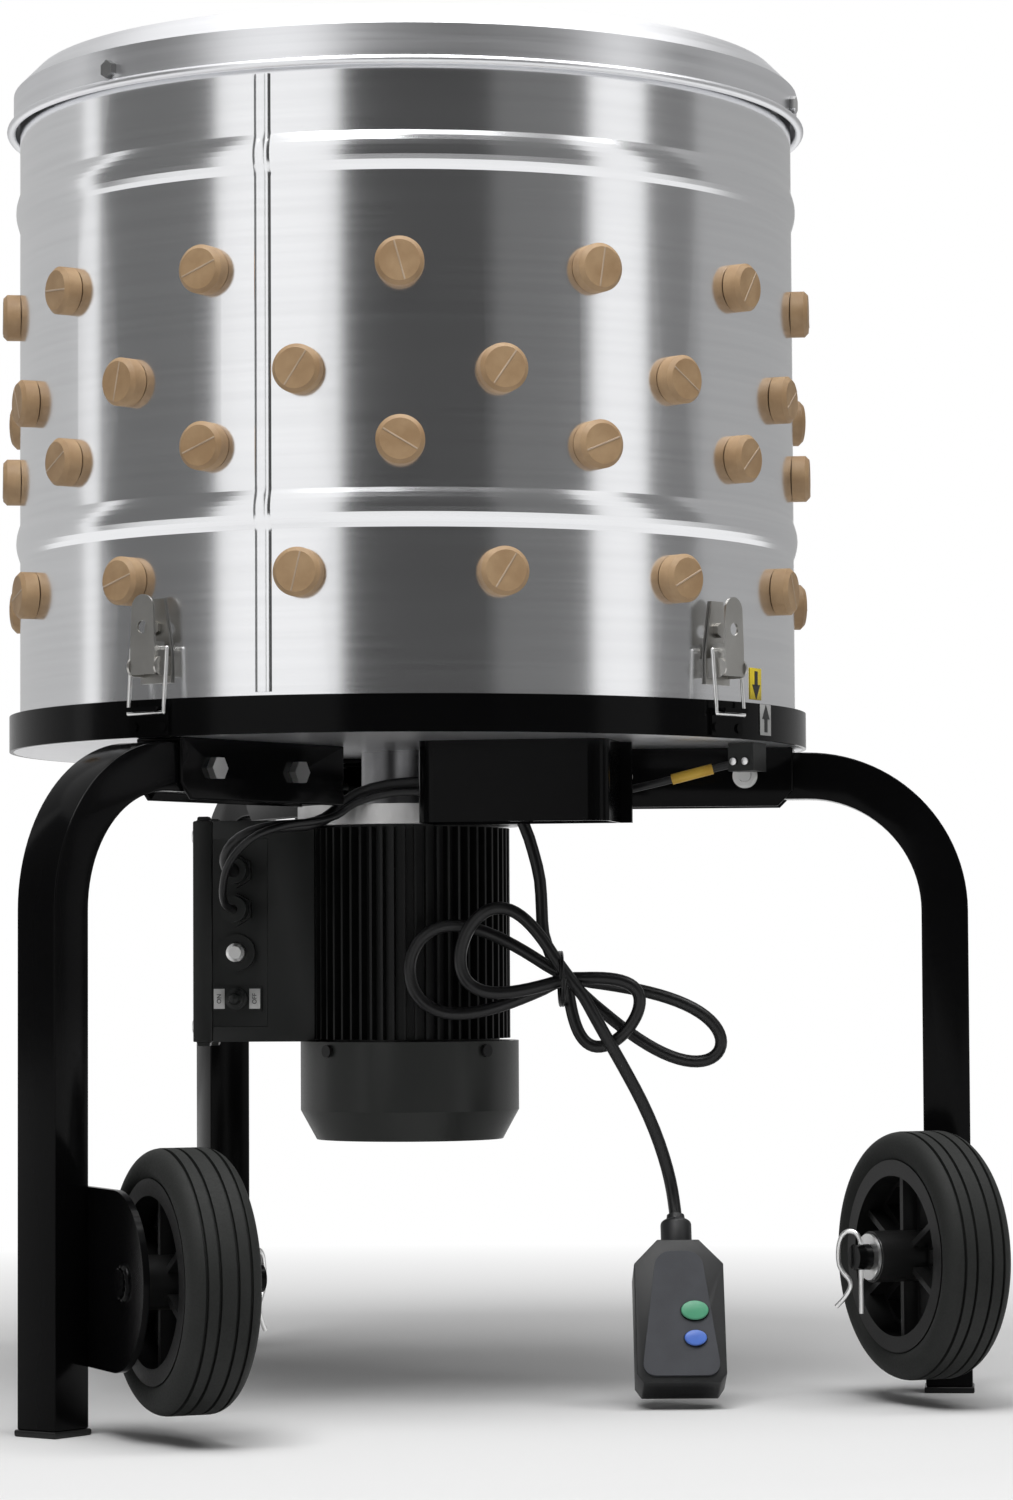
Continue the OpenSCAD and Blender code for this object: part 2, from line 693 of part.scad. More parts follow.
// Wedge-shaped opening through the web
module web_opening(barrel_r, rim_wall, web_t) {
    spread = 180 / web_count - 9;
    near = barrel_r + 3;
    far = hub_r - rim_wall - 2;
    translate([0, 0, -web_t]) linear_extrude(2 * web_t) polygon([
        [near * cos(spread), -near * sin(spread) * 0.6], [far * cos(spread), -far * sin(spread)], [far, 0],
        [far * cos(spread), far * sin(spread)], [near * cos(spread), near * sin(spread) * 0.6]]);
}

// Rubber tyre with rounded shoulders and four grooves
module wheel_tyre(side) {
    groove = 2.5;
    groove_at = [-0.3, -0.12, 0.12, 0.3] * tyre_w;
    half = tyre_w / 2;
    bulge = (tyre_r - hub_r) * 0.6;
    color("dimgray") translate([side * wheel_x, -axle_y, axle_z]) rotate([0, 90, 0])
        rotate_extrude($fn = 96) difference() {
            union() {
                translate([hub_r, -half + 3]) square([tyre_r - bulge - hub_r, tyre_w - 6]);
                translate([tyre_r - bulge, -half + bulge]) square([bulge, tyre_w - 2 * bulge]);
                for (s = [-1, 1]) translate([tyre_r - bulge, s * (half - bulge)]) circle(r = bulge);
            }
            for (g = groove_at) translate([tyre_r - groove, g - 1]) square([2 * groove, 2]);
            square([2 * hub_r, 2 * tyre_w], center = true);
        }
}

module axle_washers() {
    color("silver") for (s = [-1, 1], end = [-1, 1])
        translate([s * (wheel_x + end * (washer_t / 2 + 0.3 + (end > 0 ? hub_out : hub_in))), -axle_y, axle_z])
            rotate([0, 90, 0]) difference() {
                cylinder(r = axle_r * 1.8, h = washer_t - 0.2, center = true);
                cylinder(r = axle_r + axle_gap, h = 2 * washer_t, center = true);
            }
}

// Straight leg through the axle, a second leg beside it and an eye that joins them
module hitch_clips() {
    up = 2.4 * axle_r;
    down = 3.6 * axle_r;
    beside = axle_r + clip_r + 0.3;
    color("silver") for (s = [-1, 1]) translate([s * (axle_in + axle_tail / 2), -axle_y, axle_z]) {
        translate([0, 0, -down]) cylinder(r = clip_r, h = down + up);
        translate([0, -beside, -down * 0.8]) cylinder(r = clip_r, h = down * 0.8 + up);
        translate([0, -beside / 2, up]) rotate([0, 90, 0])
            rotate_extrude() translate([beside / 2, 0]) circle(r = clip_r + 0.2);
    }
}

// Motor and reducer
gear_z = flange_z + flange_h + 1;
carrier_z = gear_z + gear_w + 1.5;
carrier_h = 6;
carrier_r = (sun_teeth + 1.6 * planet_teeth) / 2 * gear_m;
output_seat_z = carrier_z + carrier_h + 1;
output_bearing_h = pan_z - output_seat_z - 3;

module motor_flange() {
    color("gainsboro") translate([0, 0, flange_z]) difference() {
        cylinder(r = flange_r, h = flange_h);
        translate([0, 0, -cut]) cylinder(r = bearing_r, h = bearing_h + cut);
        cylinder(r = rotor_shaft_r + 1, h = flange_h + cut);
    }
}

module gear_housing() {
    color("silver") translate([0, 0, flange_z + flange_h]) difference() {
        cylinder(r = gearbox_r, h = gearbox_h);
        translate([0, 0, -cut]) linear_extrude(carrier_z - gear_z + 1 + cut)
            rotate([0, 0, 180 / ring_teeth]) gear_outline(ring_teeth, -backlash, 0.85, 1.25);
        translate([0, 0, carrier_z - gear_z + 1 - cut / 2]) cylinder(r = carrier_r + 1, h = carrier_h + 2);
        translate([0, 0, output_seat_z - flange_z - flange_h])
            cylinder(r = output_bearing_r, h = output_bearing_h);
        cylinder(r = output_r + 1, h = gearbox_h + cut);
    }
}
output_bearing_r = output_r + 8;

// Involute gear outline: points of one flank by unrolling the base circle
ring_teeth = sun_teeth + 2 * planet_teeth;
pressure = 20;
function involute_angle(rb, r) = let (a = acos(min(1, rb / r))) tan(a) * 180 / PI - a;
function pitch_radius(teeth) = teeth * gear_m / 2;

// Half tooth angle at radius r, thinned by the backlash
function half_tooth(teeth, r, slack) =
    let (rp = pitch_radius(teeth), rb = rp * cos(pressure))
    90 / teeth - slack / 2 / rp * 180 / PI / 2 + involute_angle(rb, rp) - involute_angle(rb, max(r, rb));

// Outline from a foot below the pitch circle to a tip above it, both in modules
module gear_outline(teeth, slack, foot, tip) {
    low = pitch_radius(teeth) - foot * gear_m;
    high = pitch_radius(teeth) + tip * gear_m;
    radii = [for (i = [0 : 4]) low + (high - low) * i / 4];
    polygon([for (t = [0 : teeth - 1], side = [-1, 1], i = [0 : 4])
        let (r = radii[side < 0 ? i : 4 - i],
             a = 360 / teeth * t + side * half_tooth(teeth, r, slack))
        [r * cos(a), r * sin(a)]]);
}

planet_at = (sun_teeth + planet_teeth) * gear_m / 2;
planet_pin_r = 3;

// A planet meets the sun with a gap, since the sun and the ring have a tooth there
module planet_gear(i) {
    color("goldenrod") rotate([0, 0, 120 * i]) translate([planet_at, 0, gear_z]) difference() {
        rotate([0, 0, 180 + 180 / planet_teeth])
            linear_extrude(gear_w) gear_outline(planet_teeth, backlash, 1.2, 0.85);
        translate([0, 0, -cut]) cylinder(r = planet_pin_r + shaft_gap, h = gear_w + 2 * cut);
    }
}

module motor_rotor() {
    core_r = stator_in - air_gap;
    color("gray") {
        translate([0, 0, motor_z - 46]) cylinder(r = rotor_shaft_r - shaft_gap, h = gear_z - motor_z + 46);
        translate([0, 0, motor_z + 22]) cylinder(r = core_r, h = motor_h - 44);
        translate([0, 0, gear_z]) linear_extrude(gear_w) gear_outline(sun_teeth, backlash, 1.2, 0.85);
        translate([0, 0, gear_z - cut]) cylinder(r = pitch_radius(sun_teeth) - 1.5 * gear_m, h = gear_w);
    }
}
stator_in = 36;

module motor_stator() {
    color("brown") translate([0, 0, motor_z + 20]) difference() {
        cylinder(r = motor_r - motor_wall, h = motor_h - 40);
        translate([0, 0, -cut]) cylinder(r = stator_in, h = motor_h);
    }
}

// Finned body with a floor that holds the lower bearing
module motor_housing() {
    floor_h = bearing_h + 3;
    color("black") translate([0, 0, motor_z]) difference() {
        union() {
            cylinder(r = motor_r, h = motor_h);
            for (i = [0 : fin_count - 1]) rotate([0, 0, 360 / fin_count * i])
                translate([motor_r - cut, -fin_t / 2, fin_end])
                    cube([fin_r - motor_r + cut, fin_t, motor_h - 2 * fin_end]);
        }
        translate([0, 0, floor_h]) cylinder(r = motor_r - motor_wall, h = motor_h);
        translate([0, 0, 3]) cylinder(r = bearing_r, h = bearing_h + cut);
        translate([0, 0, -cut]) cylinder(r = rotor_shaft_r + 1, h = floor_h + 2 * cut);
    }
}

// Ring of a ball bearing, drawn closed
module bearing(inner, outer, h) {
    difference() {
        cylinder(r = outer, h = h);
        translate([0, 0, -cut]) cylinder(r = inner, h = h + 2 * cut);
    }
}

module drive_bearings() {
    color("silver") {
        translate([0, 0, flange_z]) bearing(rotor_shaft_r, bearing_r, bearing_h);
        translate([0, 0, motor_z + 3]) bearing(rotor_shaft_r, bearing_r, bearing_h);
        translate([0, 0, output_seat_z]) bearing(output_r, output_bearing_r, output_bearing_h);
    }
}

// Fan blades on a hub below the motor
module motor_fan() {
    blades = 8;
    fan_h = 24;
    fan_z = fan_cover_z + fan_cover_slope + 3;
    tip = fan_cover_r - 12;
    color("dimgray") translate([0, 0, fan_z]) difference() {
        union() {
            cylinder(r = rotor_shaft_r + 8, h = fan_h);
            translate([0, 0, fan_h - 3]) cylinder(r = tip, h = 3);
            for (i = [0 : blades - 1]) rotate([0, 0, 360 / blades * i])
                translate([rotor_shaft_r, -1, 0]) cube([tip - rotor_shaft_r - 2, 2, fan_h - 1]);
        }
        translate([0, 0, -cut]) cylinder(r = rotor_shaft_r - shaft_gap, h = fan_h + 2 * cut);
    }
}

// Sheet cover with a sloping lower edge and rings of air slots
module fan_cover() {
    slots = 12;
    bottom_r = fan_cover_r - fan_cover_slope * 0.55;
    color("dimgray") translate([0, 0, fan_cover_z]) difference() {
        rotate_extrude($fn = 96) polygon([
            [0, 0], [bottom_r, 0], [fan_cover_r, fan_cover_slope], [fan_cover_r, fan_cover_h],
            [motor_r, fan_cover_h], [motor_r, fan_cover_h - fan_cover_t],
            [fan_cover_r - fan_cover_t, fan_cover_h - fan_cover_t],
            [fan_cover_r - fan_cover_t, fan_cover_slope],
            [bottom_r - fan_cover_t, fan_cover_t], [0, fan_cover_t]]);
        for (i = [0 : slots - 1]) rotate([0, 0, 360 / slots * i])
            translate([16, -2.5, -cut]) cube([bottom_r - 26, 5, fan_cover_t + 2 * cut]);
    }
}

// Screws through the cover's edge into the motor's fins
module fan_cover_screws() {
    color("silver") for (i = [0 : 3]) at_bearing(-70 + 90 * i)
        translate([fan_cover_r, 0, fan_cover_z + fan_cover_h - 6]) rotate([0, 90, 0])
            cylinder(r = 4, h = 2.5);
}

// Planet carrier with its pins, and the shaft up to the feather plate
module output_shaft() {
    hub_flange_r = 40;
    color("gray") {
        translate([0, 0, carrier_z]) cylinder(r = carrier_r, h = carrier_h);
        for (i = [0 : 2]) rotate([0, 0, 120 * i]) translate([planet_at, 0, gear_z + 0.5])
            cylinder(r = planet_pin_r, h = carrier_z - gear_z);
        translate([0, 0, carrier_z]) cylinder(r = output_r - shaft_gap, h = plate_z - carrier_z);
        translate([0, 0, plate_z - 6]) cylinder(r = hub_flange_r, h = 6);
    }
}

module feather_plate() {
    color("silver") difference() {
        union() {
            translate([0, 0, plate_z]) cylinder(r = plate_r, h = plate_t, $fn = 128);
            translate([0, 0, plate_z + plate_t - cut]) cylinder(r = 14, h = 12);
        }
        for (c = [0 : 1]) plate_ring(c) translate([0, 0, plate_z - cut])
            cylinder(r = neck_r + neck_gap, h = plate_t + 2 * cut);
    }
}

// Places a piece at each finger of one circle of the plate
module plate_ring(c) {
    for (i = [0 : plate_counts[c] - 1]) rotate([0, 0, 360 / plate_counts[c] * i])
        translate([plate_circles[c], 0, 0]) children();
}

module plate_fingers() {
    color("peru") for (c = [0 : 1]) plate_ring(c) translate([0, 0, plate_z]) finger(plate_t + neck_gap);
}

// Control box, made with its panel towards +X and its lid towards -Y of its own frame

// Turns the box so that its panel faces the panel bearing
module on_panel() { at_bearing(panel_bearing) translate([0, 0, box_z]) children(); }

module control_box() {
    color("black") on_panel() difference() {
        translate([-panel_out, -box_out + lid_t, 0]) cube([box_deep, box_out - lid_t - box_in, box_h]);
        translate([-panel_out + box_wall, -box_out + lid_t - cut, box_wall])
            cube([box_deep - 2 * box_wall, box_out - lid_t - fin_r - 3 * box_wall, box_h - 2 * box_wall]);
        translate([0, 0, -cut]) cylinder(r = fin_r + 0.2, h = box_h + 2 * cut);
        translate([0, 0, flange_z - box_z - neck_gap]) cylinder(r = flange_r + neck_gap, h = box_h);
        translate([panel_out - 1, -panel_at - 20, 10]) cube([2, 40, box_h - 22]);
        for (z = gland_z) panel_hole(z, gland_r);
        panel_hole(reset_z, reset_r + 1.5);
        panel_hole(toggle_z, boot_r - 2);
    }
}
box_in = fin_r * 0.88;
gland_r = 6;

module panel_hole(z, r) {
    translate([panel_out - box_wall - 2, -panel_at, z]) rotate([0, 90, 0]) cylinder(r = r, h = box_wall + 4);
}

// Lid with four screw lugs at its corners
module control_lid() {
    lug = 8;
    color("black") on_panel() {
        translate([-panel_out, -box_out, 0]) cube([box_deep, lid_t, box_h]);
        for (x = [-1, 1], z = [-1, 1])
            translate([x * (panel_out - lug), -box_out + lid_t / 2 - lug / 2, z < 0 ? -3 : box_h])
                translate([-lug / 2, 0, 0]) cube([lug, lug, 3]);
    }
}

// Two cable glands, the reset button's ring and the toggle switch's plate
module panel_fittings() {
    hex_af = 19;
    color("dimgray") on_panel() {
        for (i = [0 : 1]) translate([panel_out - 1, -panel_at, gland_z[i]]) rotate([0, 90, 0]) difference() {
            union() {
                hexagon(hex_af, 6);
                translate([0, 0, 6]) cylinder(r = hex_af / 2 - 1, h = gland_len - 6);
                translate([0, 0, -5]) cylinder(r = gland_r - neck_gap, h = 6);
            }
            translate([0, 0, -6]) cylinder(r = (i == 0 ? cable_d : cord_d) / 2 + neck_gap, h = gland_len + 7);
        }
        translate([panel_out - 1, -panel_at, reset_z]) rotate([0, 90, 0]) difference() {
            cylinder(r = reset_r + 6, h = 4);
            translate([0, 0, -cut]) cylinder(r = reset_r + 0.3, h = 4 + 2 * cut);
        }
        translate([panel_out - 1, -panel_at, toggle_z]) rotate([0, 90, 0]) difference() {
            translate([-boot_r - 1, -boot_r - 9, 0]) cube([2 * boot_r + 2, 2 * boot_r + 18, 1.5]);
            translate([0, 0, -cut]) cylinder(r = boot_r - 2, h = 4);
        }
    }
}

// Button with a domed cap
module reset_button() {
    color("lightgray") on_panel() translate([panel_out - 3, -panel_at, reset_z]) rotate([0, 90, 0])
        rotate_extrude() polygon([[0, 0], [reset_r, 0], [reset_r, 13], [reset_r - 2, 15], [0, 15]]);
}

// Toggle under a ribbed rubber boot, turning about the pin at its foot
module toggle_switch() {
    pin_r = 1;
    pin_half = boot_r - 3.5;
    color("dimgray") on_panel() translate([panel_out + 0.8, -panel_at, toggle_z]) {
        rotate([0, 90, 0]) rotate_extrude() polygon([[0, 0.2], [boot_r - 3, 0.2], [boot_r, 3], [boot_r, 6],
            [boot_r - 1.5, 7], [boot_r - 1.5, 9], [boot_r - 3, 10], [boot_r - 3, 15],
            [boot_r - 4, 18], [0, 19]]);
        translate([0, 0, -pin_half]) cylinder(r = pin_r, h = 2 * pin_half);
    }
}

// Cord routes. Each point gives how far right, how near and how high it lies as seen from the view bearing.
view_bearing = -23;
function seen(p) = let (c = cos(view_bearing), s = sin(view_bearing))
    [p[0] * c + p[1] * s, p[0] * s - p[1] * c, p[2]];

// Top of the plug's strain relief, and how far the plug leans
plug_place = [168, 98, 117];
plug_lean = 24;
relief_h = 22;

// Point on the axis of gland i, s away from the box's middle
function gland_point(i, s) = let (b = panel_bearing)
    [s * sin(b) - panel_at * cos(b), -s * cos(b) - panel_at * sin(b), box_z + gland_z[i]];
gland_mouth = panel_out - 1 + gland_len;

// Power cord from the upper gland over the motor flange and down beside the motor
lead_points = [[-117, 64, 340], [-117, 74, 346], [-112, 81, 354], [-101, 84, 361], [-84, 84, 365],
    [-66, 80, 366],
    [-54, 74, 370], [-45, 70, 377], [-33, 65, 386], [-12, 62, 392], [20, 64, 394], [46, 64, 391],
    [64, 66, 382], [74, 68, 366], [80, 70, 348], [84, 72, 330], [85, 74, 312], [86, 76, 296], [91, 77, 281]];
lead_path = concat([gland_point(1, gland_mouth - 10), gland_point(1, gland_mouth + 8)], place(lead_points));
// Power cord from the hank to the plug
tail_points = [[110, 113, 256], [115, 113, 247], [121, 112, 236], [129, 109, 222], [138, 105, 206],
    [147, 101, 189],
    [155, 97, 171], [161, 94, 154], [165, 92, 139], [167, 94, 127], plug_place];
// Switch cable from the lower gland to the safety switch
cable_points = [[-118, 64, 316], [-119, 76, 324], [-116, 86, 338], [-108, 92, 350], [-95, 95, 360],
    [-76, 92, 366], [-60, 88, 368], [-46, 80, 372], [-34, 75, 380], [-14, 72, 386], [10, 74, 387],
    [40, 73, 386],
    [62, 76, 382], [84, 72, 382], [108, 72, 383], [126, 82, 385], [146, 90, 388.5], [168, 95, 393.5],
    [188, 98.5, 398.5]];
switch_bearing = 41;
switch_at = 238;
switch_size = [16, 18, 18];
function switch_point(r) = [r * sin(switch_bearing), -r * cos(switch_bearing), pan_z - switch_size[2] + 4];
cable_path = concat([gland_point(0, gland_mouth - 10), gland_point(0, gland_mouth + 8)], place(cable_points),
    [switch_point(switch_at - switch_size[0] / 2 - cable_d), switch_point(switch_at - switch_size[0] / 2)]);

// Hank: lobes that leave the waist and come back to it, each with its slope, length and width
waist = [100, 95, 267];
lobes = [[-26, 98, 52], [175, 100, 56], [-40, 50, 46], [158, 70, 54]];
layer = 9.5;
lobe_steps = 22;

// Depth of a pass through the waist
function pass_depth(j) = (j - len(lobes) / 2) * layer;

// Point of lobe j at share t, drawn as half a figure of eight
function lobe_point(j, t) =
    let (l = lobes[j], turn = j % 2 == 0 ? -1 : 1,
        x = l[1] * sin(180 * t), y = turn * l[2] / 2 * sin(360 * t))
    [waist[0] + x * cos(l[0]) - y * sin(l[0]),
     waist[1] + pass_depth(j) + (pass_depth(j + 1) - pass_depth(j)) * t,
     waist[2] + x * sin(l[0]) + y * cos(l[0])];
hank_loop = [for (j = [0 : len(lobes) - 1], k = [0 : lobe_steps - 1])
    if (j > 0 || k > 0) lobe_point(j, k / lobe_steps)];
lead_end = lead_points[len(lead_points) - 1];
hank_points = concat([lead_end, waist + [-5, -19, 7]], hank_loop, [waist + [3, 18, -2], tail_points[0]]);

function unit(v) = v / norm(v);
function tangents(p) = [for (i = [0 : len(p) - 1]) unit(p[min(i + 1, len(p) - 1)] - p[max(i - 1, 0)])];
function carry(ts, i, n) = i == len(ts) ? [] :
    let (m = unit(n - (n * ts[i]) * ts[i])) concat([m], carry(ts, i + 1, m));

// Round tube swept along points, closed at both ends
module tube(p, d, sides) {
    ts = tangents(p);
    ns = carry(ts, 0, cross(ts[0], [0.3, 0.5, 0.8]));
    rings = [for (i = [0 : len(p) - 1], k = [0 : sides - 1])
        p[i] + d / 2 * (cos(360 / sides * k) * ns[i] + sin(360 / sides * k) * cross(ts[i], ns[i]))];
    last = (len(p) - 1) * sides;
    walls = [for (i = [0 : len(p) - 2], k = [0 : sides - 1])
        let (a = i * sides + k, b = i * sides + (k + 1) % sides)
        each [[a, a + sides, b], [b, a + sides, b + sides]]];
    caps = [for (k = [1 : sides - 2]) each [[0, k, k + 1], [last, last + k + 1, last + k]]];
    polyhedron(points = rings, faces = concat(walls, caps));
}

function place(p) = [for (q = p) seen(q)];

// Least gap of the hank to itself, between points that lie further apart along the cord than a bend
function step_length(p, i) = i + 1 < len(p) ? norm(p[i + 1] - p[i]) : 0;
function run_length(p) = [for (i = 0, s = 0; i < len(p); s = s + step_length(p, i), i = i + 1) s];
hank_run = run_length(hank_points);
hank_gap = min([for (i = [0 : len(hank_points) - 1], j = [0 : len(hank_points) - 1])
    if (hank_run[j] - hank_run[i] > 3 * cord_d) norm(hank_points[j] - hank_points[i])]) - cord_d;
echo(least_gap_in_hank = hank_gap);
echo(lead_length = run_length(lead_path)[len(lead_path) - 1]);
echo(hank_length = hank_run[len(hank_run) - 1]);
echo(tail_length = run_length(tail_points)[len(tail_points) - 1]);

module cord_lead() { color("black") tube(lead_path, cord_d, 8); }
module cord_hank() { color("black") tube(place(hank_points), cord_d, 6); }
module cord_tail() { color("black") tube(place(tail_points), cord_d, 8); }

// Plug with tapered shoulders, standing on its end under the cord

// Frame of the plug: +Z up its length from its lower end, +Y away from the view
module on_plug() {
    translate(seen(plug_place)) rotate([0, 0, view_bearing]) rotate([-plug_lean, 0, 0])
        translate([0, 0, -plug_h - relief_h]) children();
}

module plug_body() {
    shoulder = 16;
    relief_r = cord_d / 2 + 5;
    color("dimgray") on_plug() {
        difference() {
            union() {
                translate([0, plug_t / 2, 0]) rotate([90, 0, 0]) linear_extrude(plug_t) polygon([
                    [-plug_w / 2 + 4, 0], [plug_w / 2 - 4, 0], [plug_w / 2, 6],
                    [plug_w / 2, plug_h - shoulder], [relief_r + 4, plug_h], [-relief_r - 4, plug_h],
                    [-plug_w / 2, plug_h - shoulder], [-plug_w / 2, 6]]);
                translate([0, 0, plug_h - cut])
                    cylinder(r1 = relief_r, r2 = cord_d / 2 + 1.5, h = relief_h + cut);
            }
            for (z = key_z) translate([key_x - key_w / 2 - 0.2, -plug_t / 2 - cut, z - key_w / 2 - 0.2])
                cube([key_w + 0.4, key_deep + cut, key_w + 0.4]);
        }
        for (s = [-1, 1]) translate([s * 6.35 - 0.75, plug_t / 2 - cut, 36]) cube([1.5, 16 + cut, 6.3]);
        translate([0, plug_t / 2 - cut, 50]) rotate([-90, 0, 0]) cylinder(r = 2.4, h = 19 + cut);
    }
}
key_x = 9;
key_z = [28, 46];
key_deep = 6;
key_proud = 2;

module plug_key(i, shade) {
    color(shade) on_plug() translate([key_x - key_w / 2, -plug_t / 2 - key_proud, key_z[i] - key_w / 2])
        cube([key_w, key_proud + key_deep - key_travel - 0.3, key_w]);
}

// Safety switch under the ring, with its bracket and screws
module safety_switch() {
    body = switch_size;
    color("silver") at_bearing(switch_bearing) translate([switch_at, 0, pan_z]) {
        translate([-body[0] / 2, -body[1] / 2, -body[2]]) cube(body);
        translate([body[0] / 2, -body[1] / 2 - 2, -body[2]]) cube([2, body[1] + 4, body[2]]);
        for (s = [-1, 1]) translate([s * 4, -body[1] / 2, -body[2] + 6])
            rotate([90, 0, 0]) cylinder(r = 2.2, h = 1.5);
    }
}

module switch_cable() { color("black") tube(cable_path, cable_d, 8); }

placed() drum_shell();
placed() rim_cover();
placed() rim_bolts();
placed() wall_fingers();
placed() latch_bases();
placed() latch_lever(latch_bearings[0]);  // latch_lever_1
placed() latch_lever(latch_bearings[1]);  // latch_lever_2
placed() latch_lever(latch_bearings[2]);  // latch_lever_3
placed() latch_lever(latch_bearings[3]);  // latch_lever_4
placed() latch_bail(latch_bearings[0]);  // latch_bail_1
placed() latch_bail(latch_bearings[1]);  // latch_bail_2
placed() latch_bail(latch_bearings[2]);  // latch_bail_3
placed() latch_bail(latch_bearings[3]);  // latch_bail_4
placed() latch_catches();
placed() base_ring();
placed() base_pan();
placed() feather_chute();
placed() frame_channels();
placed() leg(leg_bearings[0]);  // leg_left
placed() leg(leg_bearings[1]);  // leg_right
placed() leg(leg_bearings[2]);  // leg_back
placed() foot_caps();
placed() leg_bolts();
placed() wheel_bracket(-1);  // wheel_bracket_left
placed() wheel_bracket(1);  // wheel_bracket_right
placed() wheel_axles();
placed() wheel_hub(-1);  // wheel_hub_left
placed() wheel_hub(1);  // wheel_hub_right
placed() wheel_tyre(-1);  // wheel_tyre_left
placed() wheel_tyre(1);  // wheel_tyre_right
placed() axle_washers();
placed() hitch_clips();
placed() motor_flange();
placed() gear_housing();
placed() motor_housing();
placed() motor_stator();
placed() motor_rotor();
placed() motor_fan();
placed() fan_cover();
placed() fan_cover_screws();
placed() drive_bearings();
placed() planet_gear(0);  // planet_gear_1
placed() planet_gear(1);  // planet_gear_2
placed() planet_gear(2);  // planet_gear_3
placed() output_shaft();
placed() feather_plate();
placed() plate_fingers();
placed() control_box();
placed() control_lid();
placed() panel_fittings();
placed() reset_button();
placed() toggle_switch();
placed() cord_lead();
placed() cord_hank();
placed() cord_tail();
placed() plug_body();
placed() plug_key(0, "royalblue");  // plug_keys_test
placed() plug_key(1, "seagreen");  // plug_keys_reset
placed() safety_switch();
placed() switch_cable();
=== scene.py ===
import math
import random
import bpy
from mathutils import Matrix, Vector


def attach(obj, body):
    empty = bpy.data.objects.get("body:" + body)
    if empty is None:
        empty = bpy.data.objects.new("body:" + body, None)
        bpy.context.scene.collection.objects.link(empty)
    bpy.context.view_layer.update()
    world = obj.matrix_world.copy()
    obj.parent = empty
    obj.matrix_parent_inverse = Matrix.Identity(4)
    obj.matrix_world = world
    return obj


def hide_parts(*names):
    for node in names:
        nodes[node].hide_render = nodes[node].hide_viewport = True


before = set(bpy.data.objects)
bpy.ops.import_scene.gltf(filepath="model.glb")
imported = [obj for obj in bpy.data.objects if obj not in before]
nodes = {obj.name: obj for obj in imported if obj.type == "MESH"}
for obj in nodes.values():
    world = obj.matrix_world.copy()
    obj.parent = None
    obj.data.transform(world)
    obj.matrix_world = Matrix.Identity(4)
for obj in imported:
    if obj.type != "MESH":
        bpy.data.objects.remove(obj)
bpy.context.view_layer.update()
scene = bpy.context.scene
scene.view_settings.view_transform = "Standard"
print("frame loaded:", len(nodes), "nodes")

# The drum axis stands a little in front of the frame's origin
axisY = -0.02275
viewBearing = math.radians(-23)


def atBearing(degrees, radius, height):
    # a place round the drum axis, in metres
    t = math.radians(degrees)
    return Vector((radius * math.sin(t), axisY - radius * math.cos(t), height))


def outward(degrees):
    t = math.radians(degrees)
    return Vector((math.sin(t), -math.cos(t), 0))


def sideways(degrees):
    t = math.radians(degrees)
    return Vector((math.cos(t), math.sin(t), 0))


def fromView(right, near, height):
    # right of and nearer than the drum axis as the photograph sees it, in millimetres
    c, s = math.cos(viewBearing), math.sin(viewBearing)
    return Vector((right * c + near * s, right * s - near * c, height)) / 1000 + Vector((0, axisY, 0))


# Camera
cameraSetup = {
    "distance": 2.9245, "height": 0.2737, "bearing": -22.866,
    "turnRight": 1.262, "pitchUp": 2.812, "roll": -0.30, "focalPixels": 4450.0,
    "photoPixels": 1500, "sensorHeight": 36.0, "clipEnd": 100,
}


def makeCamera(setup):
    bpy.ops.object.camera_add()
    camera = bpy.context.object
    camera.name = "photoCamera"
    camera.data.sensor_fit = "VERTICAL"
    camera.data.sensor_height = setup["sensorHeight"]
    camera.data.lens = setup["sensorHeight"] * setup["focalPixels"] / setup["photoPixels"]
    camera.data.clip_end = setup["clipEnd"]
    heading = Matrix.Rotation(math.radians(setup["bearing"] - setup["turnRight"]), 4, "Z")
    pitch = Matrix.Rotation(math.radians(90 + setup["pitchUp"]), 4, "X")
    roll = Matrix.Rotation(math.radians(setup["roll"]), 4, "Z")
    place = atBearing(setup["bearing"], setup["distance"], setup["height"])
    camera.matrix_world = Matrix.Translation(place) @ heading @ pitch @ roll
    scene.camera = camera


makeCamera(cameraSetup)
print("camera placed")


# Small helpers for modelling by hand
upward = Vector((0, 0, 1))
smoothBelow = math.radians(35)


def startFresh():
    if bpy.context.object and bpy.context.object.mode != "OBJECT":
        bpy.ops.object.mode_set(mode="OBJECT")
    bpy.ops.object.select_all(action="DESELECT")


def settle(piece, name):
    # the place goes into the mesh, and the object ends at the origin
    startFresh()
    piece.select_set(True)
    bpy.context.view_layer.objects.active = piece
    bpy.ops.object.transform_apply(location=True, rotation=True, scale=True)
    piece.name = name
    piece.data.name = name
    return piece


def applyModifiers(piece):
    startFresh()
    piece.select_set(True)
    bpy.context.view_layer.objects.active = piece
    for modifier in list(piece.modifiers):
        bpy.ops.object.modifier_apply(modifier=modifier.name)


def roundEdges(piece, width, segments=2, angle=30):
    bevel = piece.modifiers.new("soften", "BEVEL")
    bevel.width = width
    bevel.segments = segments
    bevel.limit_method = "ANGLE"
    bevel.angle_limit = math.radians(angle)
    applyModifiers(piece)
    bpy.ops.object.shade_smooth_by_angle(angle=smoothBelow)


def basis(place, xAxis, yAxis):
    # a matrix whose X and Y run along two given directions
    x = xAxis.normalized()
    z = x.cross(yAxis).normalized()
    y = z.cross(x)
    turn = Matrix((x, y, z)).transposed().to_4x4()
    return Matrix.Translation(place) @ turn


